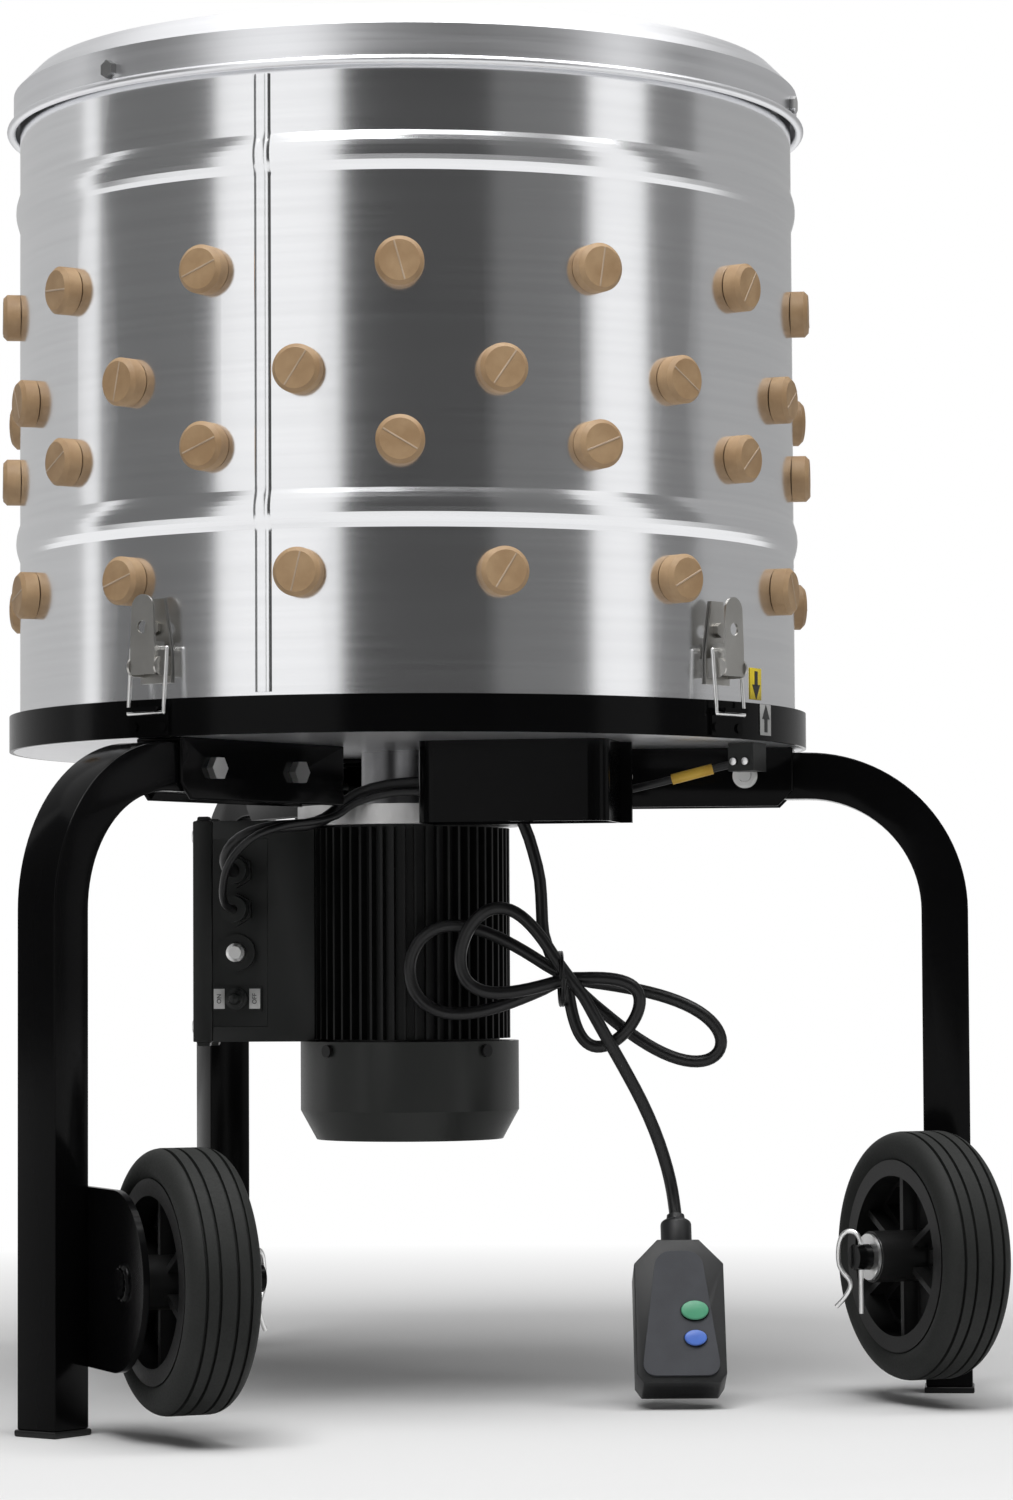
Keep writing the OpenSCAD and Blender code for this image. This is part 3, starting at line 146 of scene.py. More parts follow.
def addBlock(size, matrix):
    startFresh()
    bpy.ops.mesh.primitive_cube_add(size=1)
    block = bpy.context.object
    bpy.ops.object.mode_set(mode="EDIT")
    bpy.ops.mesh.select_all(action="SELECT")
    bpy.ops.transform.resize(value=size)
    bpy.ops.object.mode_set(mode="OBJECT")
    block.matrix_world = matrix
    return block


def addDisc(radius, depth, matrix, sides=32):
    startFresh()
    bpy.ops.mesh.primitive_cylinder_add(vertices=sides, radius=radius, depth=depth)
    disc = bpy.context.object
    disc.matrix_world = matrix
    return disc


def joinPieces(pieces, name):
    startFresh()
    for piece in pieces:
        piece.select_set(True)
    bpy.context.view_layer.objects.active = pieces[0]
    if len(pieces) > 1:
        bpy.ops.object.join()
    return settle(bpy.context.object, name)


def finishPiece(piece, material, body):
    piece.data.materials.clear()
    piece.data.materials.append(material)
    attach(piece, body)
    return piece


# Materials
finishNoise = {
    "broadDetail": 4.0, "fineDetail": 6.0, "toneFrom": 0.35, "toneTo": 0.65,
    "glossFrom": 0.3, "glossTo": 0.7, "relief": 0.0004,
}


def newMaterial(name):
    material = bpy.data.materials.new(name)
    material.use_nodes = True
    tree = material.node_tree
    shader = tree.nodes["Principled BSDF"]
    place = tree.nodes.new("ShaderNodeTexCoord")
    return material, tree, shader, place


def noiseOn(tree, place, scale, stretch, detail):
    mapping = tree.nodes.new("ShaderNodeMapping")
    mapping.inputs["Scale"].default_value = stretch
    tree.links.new(place.outputs["Object"], mapping.inputs["Vector"])
    noise = tree.nodes.new("ShaderNodeTexNoise")
    noise.inputs["Scale"].default_value = scale
    noise.inputs["Detail"].default_value = detail
    tree.links.new(mapping.outputs["Vector"], noise.inputs["Vector"])
    return noise


def rampFrom(tree, source, low, high):
    ramp = tree.nodes.new("ShaderNodeValToRGB")
    ramp.color_ramp.elements[0].position = finishNoise["toneFrom"]
    ramp.color_ramp.elements[1].position = finishNoise["toneTo"]
    ramp.color_ramp.elements[0].color = (*low, 1)
    ramp.color_ramp.elements[1].color = (*high, 1)
    tree.links.new(source, ramp.inputs["Fac"])
    return ramp


def surfaceFinish(name, look):
    # colour that drifts between two tones, roughness that varies and a fine bump
    material, tree, shader, place = newMaterial(name)
    stretch = look.get("stretch", (1, 1, 1))
    broad = noiseOn(tree, place, look["broad"], stretch, finishNoise["broadDetail"])
    fine = noiseOn(tree, place, look["fine"], stretch, finishNoise["fineDetail"])
    tone = rampFrom(tree, broad.outputs["Fac"], look["dark"], look["light"])
    tree.links.new(tone.outputs["Color"], shader.inputs["Base Color"])
    gloss = tree.nodes.new("ShaderNodeMapRange")
    gloss.inputs["From Min"].default_value = finishNoise["glossFrom"]
    gloss.inputs["From Max"].default_value = finishNoise["glossTo"]
    gloss.inputs["To Min"].default_value = look["rough"][0]
    gloss.inputs["To Max"].default_value = look["rough"][1]
    tree.links.new(fine.outputs["Fac"], gloss.inputs["Value"])
    tree.links.new(gloss.outputs["Result"], shader.inputs["Roughness"])
    bump = tree.nodes.new("ShaderNodeBump")
    bump.inputs["Strength"].default_value = look["bump"]
    bump.inputs["Distance"].default_value = finishNoise["relief"]
    tree.links.new(fine.outputs["Fac"], bump.inputs["Height"])
    tree.links.new(bump.outputs["Normal"], shader.inputs["Normal"])
    shader.inputs["Metallic"].default_value = look.get("metal", 0.0)
    shader.inputs["Specular IOR Level"].default_value = look.get("specular", 0.5)
    return material


finishes = {
    "polishedDrum": {"dark": (0.83, 0.835, 0.85), "light": (0.87, 0.875, 0.89), "broad": 3, "fine": 6,
                     "stretch": (1, 1, 60), "rough": (0.16, 0.18), "bump": 0.004, "metal": 1.0},
    "rimSteel": {"dark": (0.80, 0.805, 0.825), "light": (0.86, 0.865, 0.885), "broad": 3, "fine": 6,
                 "stretch": (1, 1, 60), "rough": (0.30, 0.35), "bump": 0.006, "metal": 1.0},
    "polishedPlate": {"dark": (0.74, 0.74, 0.755), "light": (0.80, 0.80, 0.815), "broad": 5, "fine": 60,
                      "rough": (0.30, 0.36), "bump": 0.02, "metal": 1.0},
    "brushedPlate": {"dark": (0.54, 0.54, 0.55), "light": (0.60, 0.60, 0.61), "broad": 5, "fine": 60,
                     "rough": (0.22, 0.28), "bump": 0.02, "metal": 1.0},
    "glossBlack": {"dark": (0.0022, 0.0022, 0.0024), "light": (0.0036, 0.0036, 0.0038), "broad": 6,
                   "fine": 240, "rough": (0.13, 0.17), "bump": 0.008, "specular": 0.075},
    "motorPaint": {"dark": (0.0055, 0.0058, 0.0057), "light": (0.0090, 0.0095, 0.0092), "broad": 10,
                   "fine": 400, "rough": (0.34, 0.42), "bump": 0.04, "specular": 0.25},
    "fanCoverGrey": {"dark": (0.013, 0.0145, 0.013), "light": (0.018, 0.020, 0.018), "broad": 14, "fine": 700,
                     "rough": (0.30, 0.38), "bump": 0.05, "specular": 0.4},
    "boxPlastic": {"dark": (0.0090, 0.0098, 0.0093), "light": (0.0140, 0.0152, 0.0145), "broad": 16,
                   "fine": 900, "rough": (0.34, 0.44), "bump": 0.06, "specular": 0.3},
    "hubPlastic": {"dark": (0.0075, 0.0075, 0.0075), "light": (0.011, 0.011, 0.011), "broad": 16, "fine": 600,
                   "rough": (0.32, 0.42), "bump": 0.05, "specular": 0.3},
    "tyreRubber": {"dark": (0.011, 0.012, 0.011), "light": (0.017, 0.018, 0.017), "broad": 20, "fine": 800,
                   "rough": (0.62, 0.76), "bump": 0.14, "specular": 0.3},
    "fingerRubber": {"dark": (0.355, 0.222, 0.112), "light": (0.450, 0.298, 0.162), "broad": 60, "fine": 900,
                     "rough": (0.50, 0.64), "bump": 0.10},
    "moldLine": {"dark": (0.44, 0.33, 0.23), "light": (0.52, 0.40, 0.29), "broad": 80, "fine": 900,
                 "rough": (0.5, 0.65), "bump": 0.10},
    "zincPlate": {"dark": (0.82, 0.82, 0.81), "light": (0.88, 0.88, 0.875), "broad": 40, "fine": 500,
                  "rough": (0.32, 0.38), "bump": 0.008, "metal": 1.0},
    "latchSteel": {"dark": (0.47, 0.46, 0.435), "light": (0.54, 0.53, 0.505), "broad": 40, "fine": 500,
                   "rough": (0.30, 0.34), "bump": 0.008, "metal": 1.0},
    "boltSteel": {"dark": (0.54, 0.54, 0.54), "light": (0.62, 0.62, 0.62), "broad": 40, "fine": 500,
                  "rough": (0.16, 0.22), "bump": 0.008, "metal": 1.0},
    "castAlloy": {"dark": (0.60, 0.595, 0.59), "light": (0.70, 0.695, 0.69), "broad": 40, "fine": 600,
                  "rough": (0.32, 0.44), "bump": 0.08, "metal": 1.0},
    # painted shade: the gear housing is silver steel, painted dark grey here for the shade it stands in below
    # the pan
    "neckSteelPaintedShade": {"dark": (0.20, 0.20, 0.205), "light": (0.26, 0.26, 0.265), "broad": 30, "fine": 400,
                  "rough": (0.28, 0.36), "bump": 0.04, "metal": 1.0},
    "machinedSteel": {"dark": (0.42, 0.42, 0.425), "light": (0.55, 0.55, 0.555), "broad": 30, "fine": 300,
                      "rough": (0.25, 0.42), "bump": 0.08, "metal": 1.0},
    "gearBrass": {"dark": (0.55, 0.40, 0.16), "light": (0.66, 0.50, 0.22), "broad": 40, "fine": 400,
                  "rough": (0.25, 0.38), "bump": 0.06, "metal": 1.0},
    "cordJacket": {"dark": (0.0045, 0.0045, 0.0050), "light": (0.0080, 0.0080, 0.0085), "broad": 30,
                   "fine": 700, "rough": (0.30, 0.40), "bump": 0.05, "specular": 0.4},
    "sleeveYellow": {"dark": (0.50, 0.29, 0.02), "light": (0.62, 0.39, 0.04), "broad": 90, "fine": 900,
                     "rough": (0.35, 0.5), "bump": 0.10},
    "plugPlastic": {"dark": (0.012, 0.0125, 0.013), "light": (0.020, 0.0205, 0.0215), "broad": 30,
                    "fine": 1100, "rough": (0.40, 0.52), "bump": 0.10, "specular": 0.4},
    "plugFaceGrey": {"dark": (0.035, 0.037, 0.044), "light": (0.047, 0.050, 0.059), "broad": 40, "fine": 1300,
                     "rough": (0.44, 0.56), "bump": 0.14, "specular": 0.4},
    "keyGreen": {"dark": (0.090, 0.36, 0.205), "light": (0.115, 0.42, 0.245), "broad": 60, "fine": 800,
                 "rough": (0.28, 0.4), "bump": 0.04},
    "keyBlue": {"dark": (0.080, 0.175, 0.60), "light": (0.10, 0.215, 0.68), "broad": 60, "fine": 800,
                "rough": (0.28, 0.4), "bump": 0.04},
    "markPaint": {"dark": (0.62, 0.62, 0.61), "light": (0.72, 0.72, 0.71), "broad": 60, "fine": 700,
                  "rough": (0.45, 0.6), "bump": 0.06},
    "markInk": {"dark": (0.008, 0.008, 0.008), "light": (0.014, 0.014, 0.014), "broad": 60, "fine": 700,
                "rough": (0.45, 0.6), "bump": 0.04},
    "arrowYellow": {"dark": (0.80, 0.61, 0.02), "light": (0.88, 0.69, 0.04), "broad": 60, "fine": 700,
                    "rough": (0.4, 0.55), "bump": 0.04},
    "arrowGrey": {"dark": (0.36, 0.36, 0.355), "light": (0.44, 0.44, 0.435), "broad": 60, "fine": 700,
                  "rough": (0.4, 0.55), "bump": 0.04},
}
material = {name: surfaceFinish(name, look) for name, look in finishes.items()}

nodeFinish = {
    "polishedDrum": ["drum_shell"],
    "rimSteel": ["rim_cover"],
    "polishedPlate": ["base_pan"],
    "brushedPlate": ["feather_plate"],
    "glossBlack": ["base_ring", "feather_chute", "frame_channels", "leg_left", "leg_right", "leg_back",
                   "wheel_bracket_left", "wheel_bracket_right", "wheel_axles", "latch_catches"],
    "fingerRubber": ["wall_fingers", "plate_fingers"],
    "latchSteel": ["latch_bases", "latch_lever_1", "latch_lever_2", "latch_lever_3", "latch_lever_4"],
    "boltSteel": ["rim_bolts"],
    "zincPlate": ["latch_bail_1", "latch_bail_2", "latch_bail_3", "latch_bail_4", "axle_washers",
                  "hitch_clips", "leg_bolts", "reset_button"],
    "machinedSteel": ["motor_rotor", "output_shaft", "drive_bearings", "motor_stator"],
    "gearBrass": ["planet_gear_1", "planet_gear_2", "planet_gear_3"],
    "castAlloy": ["motor_flange"],
    "neckSteelPaintedShade": ["gear_housing"],
    "motorPaint": ["motor_housing"],
    "fanCoverGrey": ["fan_cover"],
    "boxPlastic": ["control_box", "control_lid", "panel_fittings", "toggle_switch", "safety_switch"],
    "hubPlastic": ["wheel_hub_left", "wheel_hub_right", "motor_fan", "foot_caps", "fan_cover_screws"],
    "tyreRubber": ["wheel_tyre_left", "wheel_tyre_right"],
    "cordJacket": ["cord_lead", "cord_hank", "cord_tail", "switch_cable"],
    "plugPlastic": ["plug_body"],
    "keyBlue": ["plug_keys_test"],
    "keyGreen": ["plug_keys_reset"],
}
for finish, names in nodeFinish.items():
    for name in names:
        nodes[name].data.materials.clear()
        nodes[name].data.materials.append(material[finish])
print("finishes made:", len(material))

# Power cord: lead, hank and tail as one run
cordRun = {
    "diameter": 0.008,
    "gland": 111,
    "lead": [(-117, 64, 340), (-117, 74, 346), (-112, 81, 354), (-101, 84, 361), (-84, 84, 365),
             (-66, 80, 366), (-54, 74, 370), (-45, 70, 377), (-33, 65, 386), (-12, 62, 392), (20, 64, 394),
             (46, 64, 391), (64, 66, 382), (74, 68, 366), (80, 70, 348), (84, 72, 330), (85, 74, 312),
             (86, 76, 296), (91, 77, 281)],
    "intoHank": (95, 76, 274), "outOfHank": (103, 113, 265),
    "waist": (100, 95, 267), "layer": 9.5, "lobeSteps": 22,
    "lobes": [(-25, 108, 34), (175, 100, 56), (-40, 50, 46), (158, 70, 54)],
    "tail": [(110, 113, 256), (115, 113, 247), (121, 112, 236), (129, 109, 222), (138, 105, 206),
             (147, 101, 189), (155, 97, 171), (161, 94, 154), (165, 92, 139), (167, 94, 127), (168, 98, 117)],
}
panel = {"bearing": -28, "at": 110, "boxFoot": 227, "glandMouth": 51, "inGland": 10, "pastGland": 8}


def onPanel(out, along, height):
    # out from the box's middle, along from the axis and up from the box's foot, in millimetres
    foot = Vector((0, axisY, (panel["boxFoot"] + height) / 1000))
    return outward(panel["bearing"]) * out / 1000 - sideways(panel["bearing"]) * along / 1000 + foot


def throughGland(height):
    mouth = panel["glandMouth"]
    return [onPanel(mouth - panel["inGland"], panel["at"], height),
            onPanel(mouth + panel["pastGland"], panel["at"], height)]


def lobePoint(run, j, t):
    slope, length, width = run["lobes"][j]
    half = len(run["lobes"]) / 2
    depth = (j - half + t) * run["layer"]
    x = length * math.sin(math.pi * t)
    y = (-1 if j % 2 == 0 else 1) * width / 2 * math.sin(2 * math.pi * t)
    c, s = math.cos(math.radians(slope)), math.sin(math.radians(slope))
    w = run["waist"]
    return (w[0] + x * c - y * s, w[1] + depth, w[2] + x * s + y * c)


def smoothRun(points, steps):
    # curve through every point
    out = []
    for i in range(len(points) - 1):
        a, b = points[max(i - 1, 0)], points[i]
        c, d = points[i + 1], points[min(i + 2, len(points) - 1)]
        for k in range(steps):
            t = k / steps
            square, cube = 2 * a - 5 * b + 4 * c - d, 3 * b - a - 3 * c + d
            out.append(0.5 * (2 * b + (c - a) * t + square * t * t + cube * t ** 3))
    return out + [points[-1]]


def runLength(points):
    return sum((b - a).length for a, b in zip(points, points[1:]))


def makeTube(name, points, diameter, finish, body):
    curve = bpy.data.curves.new(name, "CURVE")
    curve.dimensions = "3D"
    curve.bevel_depth = diameter / 2
    curve.bevel_resolution = 4
    curve.use_fill_caps = True
    spline = curve.splines.new("POLY")
    spline.points.add(len(points) - 1)
    for point, place in zip(spline.points, points):
        point.co = (*place, 1)
    tube = bpy.data.objects.new(name, curve)
    scene.collection.objects.link(tube)
    curve.materials.append(material[finish])
    spline.use_smooth = True
    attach(tube, body)
    return tube


def powerCordPoints(run):
    steps = run["lobeSteps"]
    loops = [lobePoint(run, j, k / steps) for j in range(len(run["lobes"])) for k in range(steps) if j or k]
    middle = [run["intoHank"]] + loops + [run["outOfHank"]]
    return throughGland(run["gland"]) + [fromView(*p) for p in run["lead"] + middle + run["tail"]]


cordPoints = smoothRun(powerCordPoints(cordRun), 2)
powerCord = makeTube("powerCord", cordPoints, cordRun["diameter"], "cordJacket", "machine")
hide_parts("cord_lead", "cord_hank", "cord_tail")
print("power cord laid, metres:", round(runLength(cordPoints), 3))

# Switch cable with its yellow sleeve
cableRun = {
    "diameter": 0.005,
    "gland": 86,
    "points": [(-118, 64, 316), (-119, 76, 324), (-116, 86, 338), (-108, 92, 350), (-95, 95, 360),
               (-76, 92, 366), (-60, 88, 368), (-46, 80, 372), (-34, 75, 380), (-14, 72, 386), (10, 74, 387),
               (40, 73, 386), (62, 76, 382), (84, 72, 382), (108, 72, 383), (126, 82, 385), (146, 90, 388.5),
               (168, 95, 393.5), (188, 98.5, 398.5)],
    "switchBearing": 41, "switchInner": 0.230, "switchHeight": 0.402, "straightEnd": 0.005,
    "sleeveFrom": 0.860, "sleeveTo": 0.930, "sleeveDiameter": 0.0068,
}


def makeSwitchCable(run):
    ends = [atBearing(run["switchBearing"], run["switchInner"] - run["straightEnd"], run["switchHeight"]),
            atBearing(run["switchBearing"], run["switchInner"], run["switchHeight"])]
    points = smoothRun(throughGland(run["gland"]) + [fromView(*p) for p in run["points"]] + ends, 3)
    cable = makeTube("switchCable", points, run["diameter"], "cordJacket", "machine")
    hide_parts("switch_cable")
    first, last = int(len(points) * run["sleeveFrom"]), int(len(points) * run["sleeveTo"])
    sleevePoints = points[first:last]
    makeTube("cableSleeve", sleevePoints, run["sleeveDiameter"], "sleeveYellow", "machine")


makeSwitchCable(cableRun)
print("switch cable laid")


# CAD pieces with softened edges, for parts whose corners are rounded in life
softening = {
    "mergeBelow": 0.00002, "flatBelow": math.radians(1), "sharpAbove": math.radians(40),
    "shortest": 0.004, "segments": 3,
}


def softenedCopy(nodeName, pieceName, width, finish):
    startFresh()
    piece = nodes[nodeName].copy()
    piece.data = nodes[nodeName].data.copy()
    piece.parent = None
    for key in list(piece.keys()):
        del piece[key]
    scene.collection.objects.link(piece)
    piece.name = pieceName
    piece.data.name = pieceName
    piece.select_set(True)
    bpy.context.view_layer.objects.active = piece
    bpy.ops.object.mode_set(mode="EDIT")
    bpy.ops.mesh.select_all(action="SELECT")
    bpy.ops.mesh.remove_doubles(threshold=softening["mergeBelow"])
    bpy.ops.mesh.dissolve_limited(angle_limit=softening["flatBelow"])
    bpy.ops.object.mode_set(mode="OBJECT")
    mesh = piece.data
    weights = mesh.attributes.new("bevel_weight_edge", "FLOAT", "EDGE")
    facing = {}
    for polygon in mesh.polygons:
        for key in polygon.edge_keys:
            facing.setdefault(key, []).append(polygon.normal.copy())
    for edge in mesh.edges:
        a, b = (mesh.vertices[v].co for v in edge.vertices)
        normals = facing.get(edge.key, [])
        turned = len(normals) == 2 and normals[0].angle(normals[1], 0) > softening["sharpAbove"]
        rounded = turned and (b - a).length > softening["shortest"]
        weights.data[edge.index].value = 1.0 if rounded else 0.0
    bevel = piece.modifiers.new("soften", "BEVEL")
    bevel.limit_method = "WEIGHT"
    bevel.width = width
    bevel.segments = softening["segments"]
    bevel.use_clamp_overlap = True
    applyModifiers(piece)
    bpy.ops.object.shade_smooth_by_angle(angle=smoothBelow)
    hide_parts(nodeName)
    return finishPiece(piece, material[finish], "machine")


softened = [
    ("leg_left", "legTubeLeft", 0.0030, "glossBlack", "black_paint"),
    ("leg_right", "legTubeRight", 0.0030, "glossBlack", "black_paint"),
    ("leg_back", "legTubeBack", 0.0030, "glossBlack", "black_paint"),
    ("frame_channels", "channelSections", 0.0012, "glossBlack", "black_paint"),
    ("control_box", "controlCase", 0.0020, "boxPlastic", "black_plastic"),
    ("control_lid", "controlCaseLid", 0.0020, "boxPlastic", "black_plastic"),
    ("foot_caps", "footCaps", 0.0012, "hubPlastic", "black_plastic"),
    ("plug_body", "plugCase", 0.0050, "plugPlastic", "plug_plastic"),
]
for nodeName, pieceName, width, finish, slotName in softened:
    softenedCopy(nodeName, pieceName, width, finish)
print("edges softened:", len(softened))

# Lap seam of the drum, a raised strip that follows both beads
seam = {
    "bearing": -43.0, "halfWidth": 0.0062, "lip": 0.0011, "radius": 0.254,
    "low": 0.4415, "high": 0.8180, "beads": [0.552, 0.769], "beadHeight": 0.024, "beadOut": 0.0026,
    "rows": 120, "lifts": [1.0, 0.55, 0.40, 0.55, 1.0], "sunk": 0.0006,
}


def seamRadius(z):
    for middle in seam["beads"]:
        t = (z - middle) / seam["beadHeight"] + 0.5
        if 0 < t < 1:
            return seam["radius"] + seam["beadOut"] * math.sin(math.pi * t)
    return seam["radius"]


def makeSeam():
    startFresh()
    columns = len(seam["lifts"]) + 1
    rises = [-seam["sunk"]] + [lift * seam["lip"] for lift in seam["lifts"]] + [-seam["sunk"]]
    bpy.ops.mesh.primitive_grid_add(x_subdivisions=columns, y_subdivisions=seam["rows"], size=1)
    strip = bpy.context.object
    for vertex in strip.data.vertices:
        column = round((vertex.co.x + 0.5) * columns)
        z = seam["low"] + (vertex.co.y + 0.5) * (seam["high"] - seam["low"])
        across = vertex.co.x * 2 * seam["halfWidth"]
        bearing = seam["bearing"] + math.degrees(across / seam["radius"])
        vertex.co = atBearing(bearing, seamRadius(z) + rises[column], z)
    bpy.ops.object.mode_set(mode="EDIT")
    bpy.ops.mesh.select_all(action="SELECT")
    bpy.ops.mesh.normals_make_consistent(inside=False)
    bpy.ops.object.mode_set(mode="OBJECT")
    out = outward(seam["bearing"])
    if strip.data.polygons[len(strip.data.polygons) // 2].normal.dot(out) < 0:
        bpy.ops.object.mode_set(mode="EDIT")
        bpy.ops.mesh.select_all(action="SELECT")
        bpy.ops.mesh.flip_normals()
        bpy.ops.object.mode_set(mode="OBJECT")
    bpy.ops.object.shade_smooth()
    finishPiece(settle(strip, "drumSeam"), material["polishedDrum"], "machine")


makeSeam()
print("seam laid")

# Parting lines on the finger heads, at the angles they happened to be pushed in
fingerHeads = {
    "perRow": 13, "bearing": -23.8, "rows": [(0.513, 0.5), (0.592, 0.0), (0.636, 0.5), (0.700, 0.0)],
    "face": 0.2650, "length": 0.0245, "width": 0.0011, "height": 0.0006, "edge": 0.0002, "seed": 7,
}


def makeFingerLines():
    chance = random.Random(fingerHeads["seed"])
    size = (fingerHeads["length"], fingerHeads["width"], fingerHeads["height"])
    first = addBlock(size, Matrix.Identity(4))
    roundEdges(first, fingerHeads["edge"], 1)
    step = 360 / fingerHeads["perRow"]
    lines = []
    for height, shift in fingerHeads["rows"]:
        for i in range(fingerHeads["perRow"]):
            bearing = fingerHeads["bearing"] + step * (i + shift)
            angle = chance.uniform(0, math.pi)
            across = sideways(bearing) * math.cos(angle) + upward * math.sin(angle)
            along = outward(bearing).cross(across)
            line = first.copy()
            line.data = first.data.copy()
            scene.collection.objects.link(line)
            line.matrix_world = basis(atBearing(bearing, fingerHeads["face"], height), across, along)
            lines.append(line)
    bpy.data.objects.remove(first)
    finishPiece(joinPieces(lines, "fingerLines"), material["moldLine"], "machine")


makeFingerLines()
print("finger heads lined")

# Neck, face plate and two buttons of the plug
plug = {
    "place": (168, 98, 117), "lean": 24, "tall": 0.094, "neck": 0.022, "front": 0.016,
    "faceWide": 0.050, "faceTall": 0.082, "faceThick": 0.0016, "faceMiddle": 0.045, "faceEdge": 0.0005,
    "topShare": 0.56, "corner": 0.009, "cornerSteps": 6, "holeDeep": 0.008, "play": 0.0004,
    "buttonRight": 0.009, "buttonThick": 0.0024, "buttonEdge": 0.0008,
    "sleeveRadius": 0.0098, "sleeveTall": 0.020, "sleeveSunk": 0.002, "sleeveEdge": 0.0026,
    "buttons": [
        {"name": "buttonGreen", "node": "plug_keys_reset", "body": "reset_key", "height": 0.046,
         "radii": (0.0086, 0.0062), "finish": "keyGreen", "slot": "green_key"},
        {"name": "buttonBlue", "node": "plug_keys_test", "body": "test_key", "height": 0.028,
         "radii": (0.0070, 0.0050), "finish": "keyBlue", "slot": "blue_key"},
    ],
}
plugTurn = Matrix.Rotation(viewBearing, 4, "Z") @ Matrix.Rotation(math.radians(-plug["lean"]), 4, "X")
plugFoot = Matrix.Translation((0, 0, -plug["tall"] - plug["neck"]))
plugFrame = Matrix.Translation(fromView(*plug["place"])) @ plugTurn @ plugFoot
facingOut = Matrix.Rotation(math.radians(90), 4, "X")


def addOval(radii, depth, matrix):
    startFresh()
    bpy.ops.mesh.primitive_cylinder_add(vertices=40, radius=1, depth=depth)
    oval = bpy.context.object
    bpy.ops.object.mode_set(mode="EDIT")
    bpy.ops.mesh.select_all(action="SELECT")
    bpy.ops.transform.resize(value=(*radii, 1))
    bpy.ops.object.mode_set(mode="OBJECT")
    oval.matrix_world = matrix
    return oval


def makePlugFace():
    face = addBlock((plug["faceWide"], plug["faceThick"], plug["faceTall"]), Matrix.Identity(4))
    bpy.ops.object.mode_set(mode="EDIT")
    bpy.ops.mesh.select_mode(type="VERT")
    bpy.ops.mesh.select_all(action="DESELECT")
    bpy.ops.object.mode_set(mode="OBJECT")
    for vertex in face.data.vertices:
        vertex.select = vertex.co.z > 0
    bpy.ops.object.mode_set(mode="EDIT")
    bpy.ops.transform.resize(value=(plug["topShare"], 1, 1))
    bpy.ops.mesh.select_mode(type="EDGE")
    bpy.ops.mesh.select_all(action="DESELECT")
    bpy.ops.object.mode_set(mode="OBJECT")
    for edge in face.data.edges:
        a, b = (face.data.vertices[v].co for v in edge.vertices)
        edge.select = abs(a.y - b.y) > 0.5 * plug["faceThick"]
    bpy.ops.object.mode_set(mode="EDIT")
    bpy.ops.mesh.bevel(offset=plug["corner"], segments=plug["cornerSteps"], affect="EDGES")
    bpy.ops.object.mode_set(mode="OBJECT")
    near = -plug["front"] - plug["faceThick"] / 2
    face.matrix_world = plugFrame @ Matrix.Translation((0, near, plug["faceMiddle"]))
    for look in plug["buttons"]:
        place = Matrix.Translation((plug["buttonRight"], -plug["front"], look["height"])) @ facingOut
        cutter = addOval([r + plug["play"] for r in look["radii"]], plug["holeDeep"], plugFrame @ place)
        hole = face.modifiers.new("hole", "BOOLEAN")
        hole.object = cutter
        applyModifiers(face)
        bpy.data.objects.remove(cutter)
    roundEdges(face, plug["faceEdge"], 2)
    even = face.modifiers.new("even", "WEIGHTED_NORMAL")
    even.keep_sharp = True
    applyModifiers(face)
    return finishPiece(settle(face, "plugFace"), material["plugFaceGrey"], "machine")


def makePlugButtons():
    made = []
    near = -plug["front"] - plug["faceThick"] - plug["buttonThick"] / 2
    for look in plug["buttons"]:
        place = Matrix.Translation((plug["buttonRight"], near, look["height"])) @ facingOut
        button = addOval(look["radii"], plug["buttonThick"], plugFrame @ place)
        roundEdges(button, plug["buttonEdge"], 3, 50)
        button = settle(button, look["name"])
        finishPiece(button, material[look["finish"]], look["body"])
        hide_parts(look["node"])
        made.append(button)
    return made


def makePlugNeck():
    middle = plug["tall"] + plug["sleeveTall"] / 2 - plug["sleeveSunk"]
    place = plugFrame @ Matrix.Translation((0, 0, middle))
    neck = addDisc(plug["sleeveRadius"], plug["sleeveTall"], place, 36)
    roundEdges(neck, plug["sleeveEdge"], 3)
    return finishPiece(settle(neck, "plugNeck"), material["plugPlastic"], "machine")


plugNeck = makePlugNeck()
plugFace = makePlugFace()
plugButtons = makePlugButtons()
print("plug dressed")

# Wire tie round the waist of the hank
tie = {
    "right": 98, "near": 95, "height": 267, "deep": 31, "tall": 17,
    "wire": 0.0018, "turns": 2, "turnSteps": 40, "pitch": 3.0,
}


def makeTie():
    points = []
    steps = tie["turnSteps"] * tie["turns"]
    for i in range(steps + 1):
        a = 2 * math.pi * tie["turns"] * i / steps
        right = tie["right"] - tie["pitch"] + tie["pitch"] * i / steps
        near = tie["near"] + tie["deep"] * math.cos(a)
        points.append(fromView(right, near, tie["height"] + tie["tall"] * math.sin(a)))
    return makeTube("cordTie", points, tie["wire"], "cordJacket", "machine")


cordTie = makeTie()
print("cord tied")

# Marked plates on both sides of the toggle switch
switchWords = {
    "out": 30.5, "height": 28, "size": 0.0040, "plate": (0.0072, 0.0130, 0.0006), "edge": 0.0002,
    "inkThick": 0.0001, "inkOut": 0.1,
    "words": [("ON", 121.6), ("OFF", 98.4)],
}


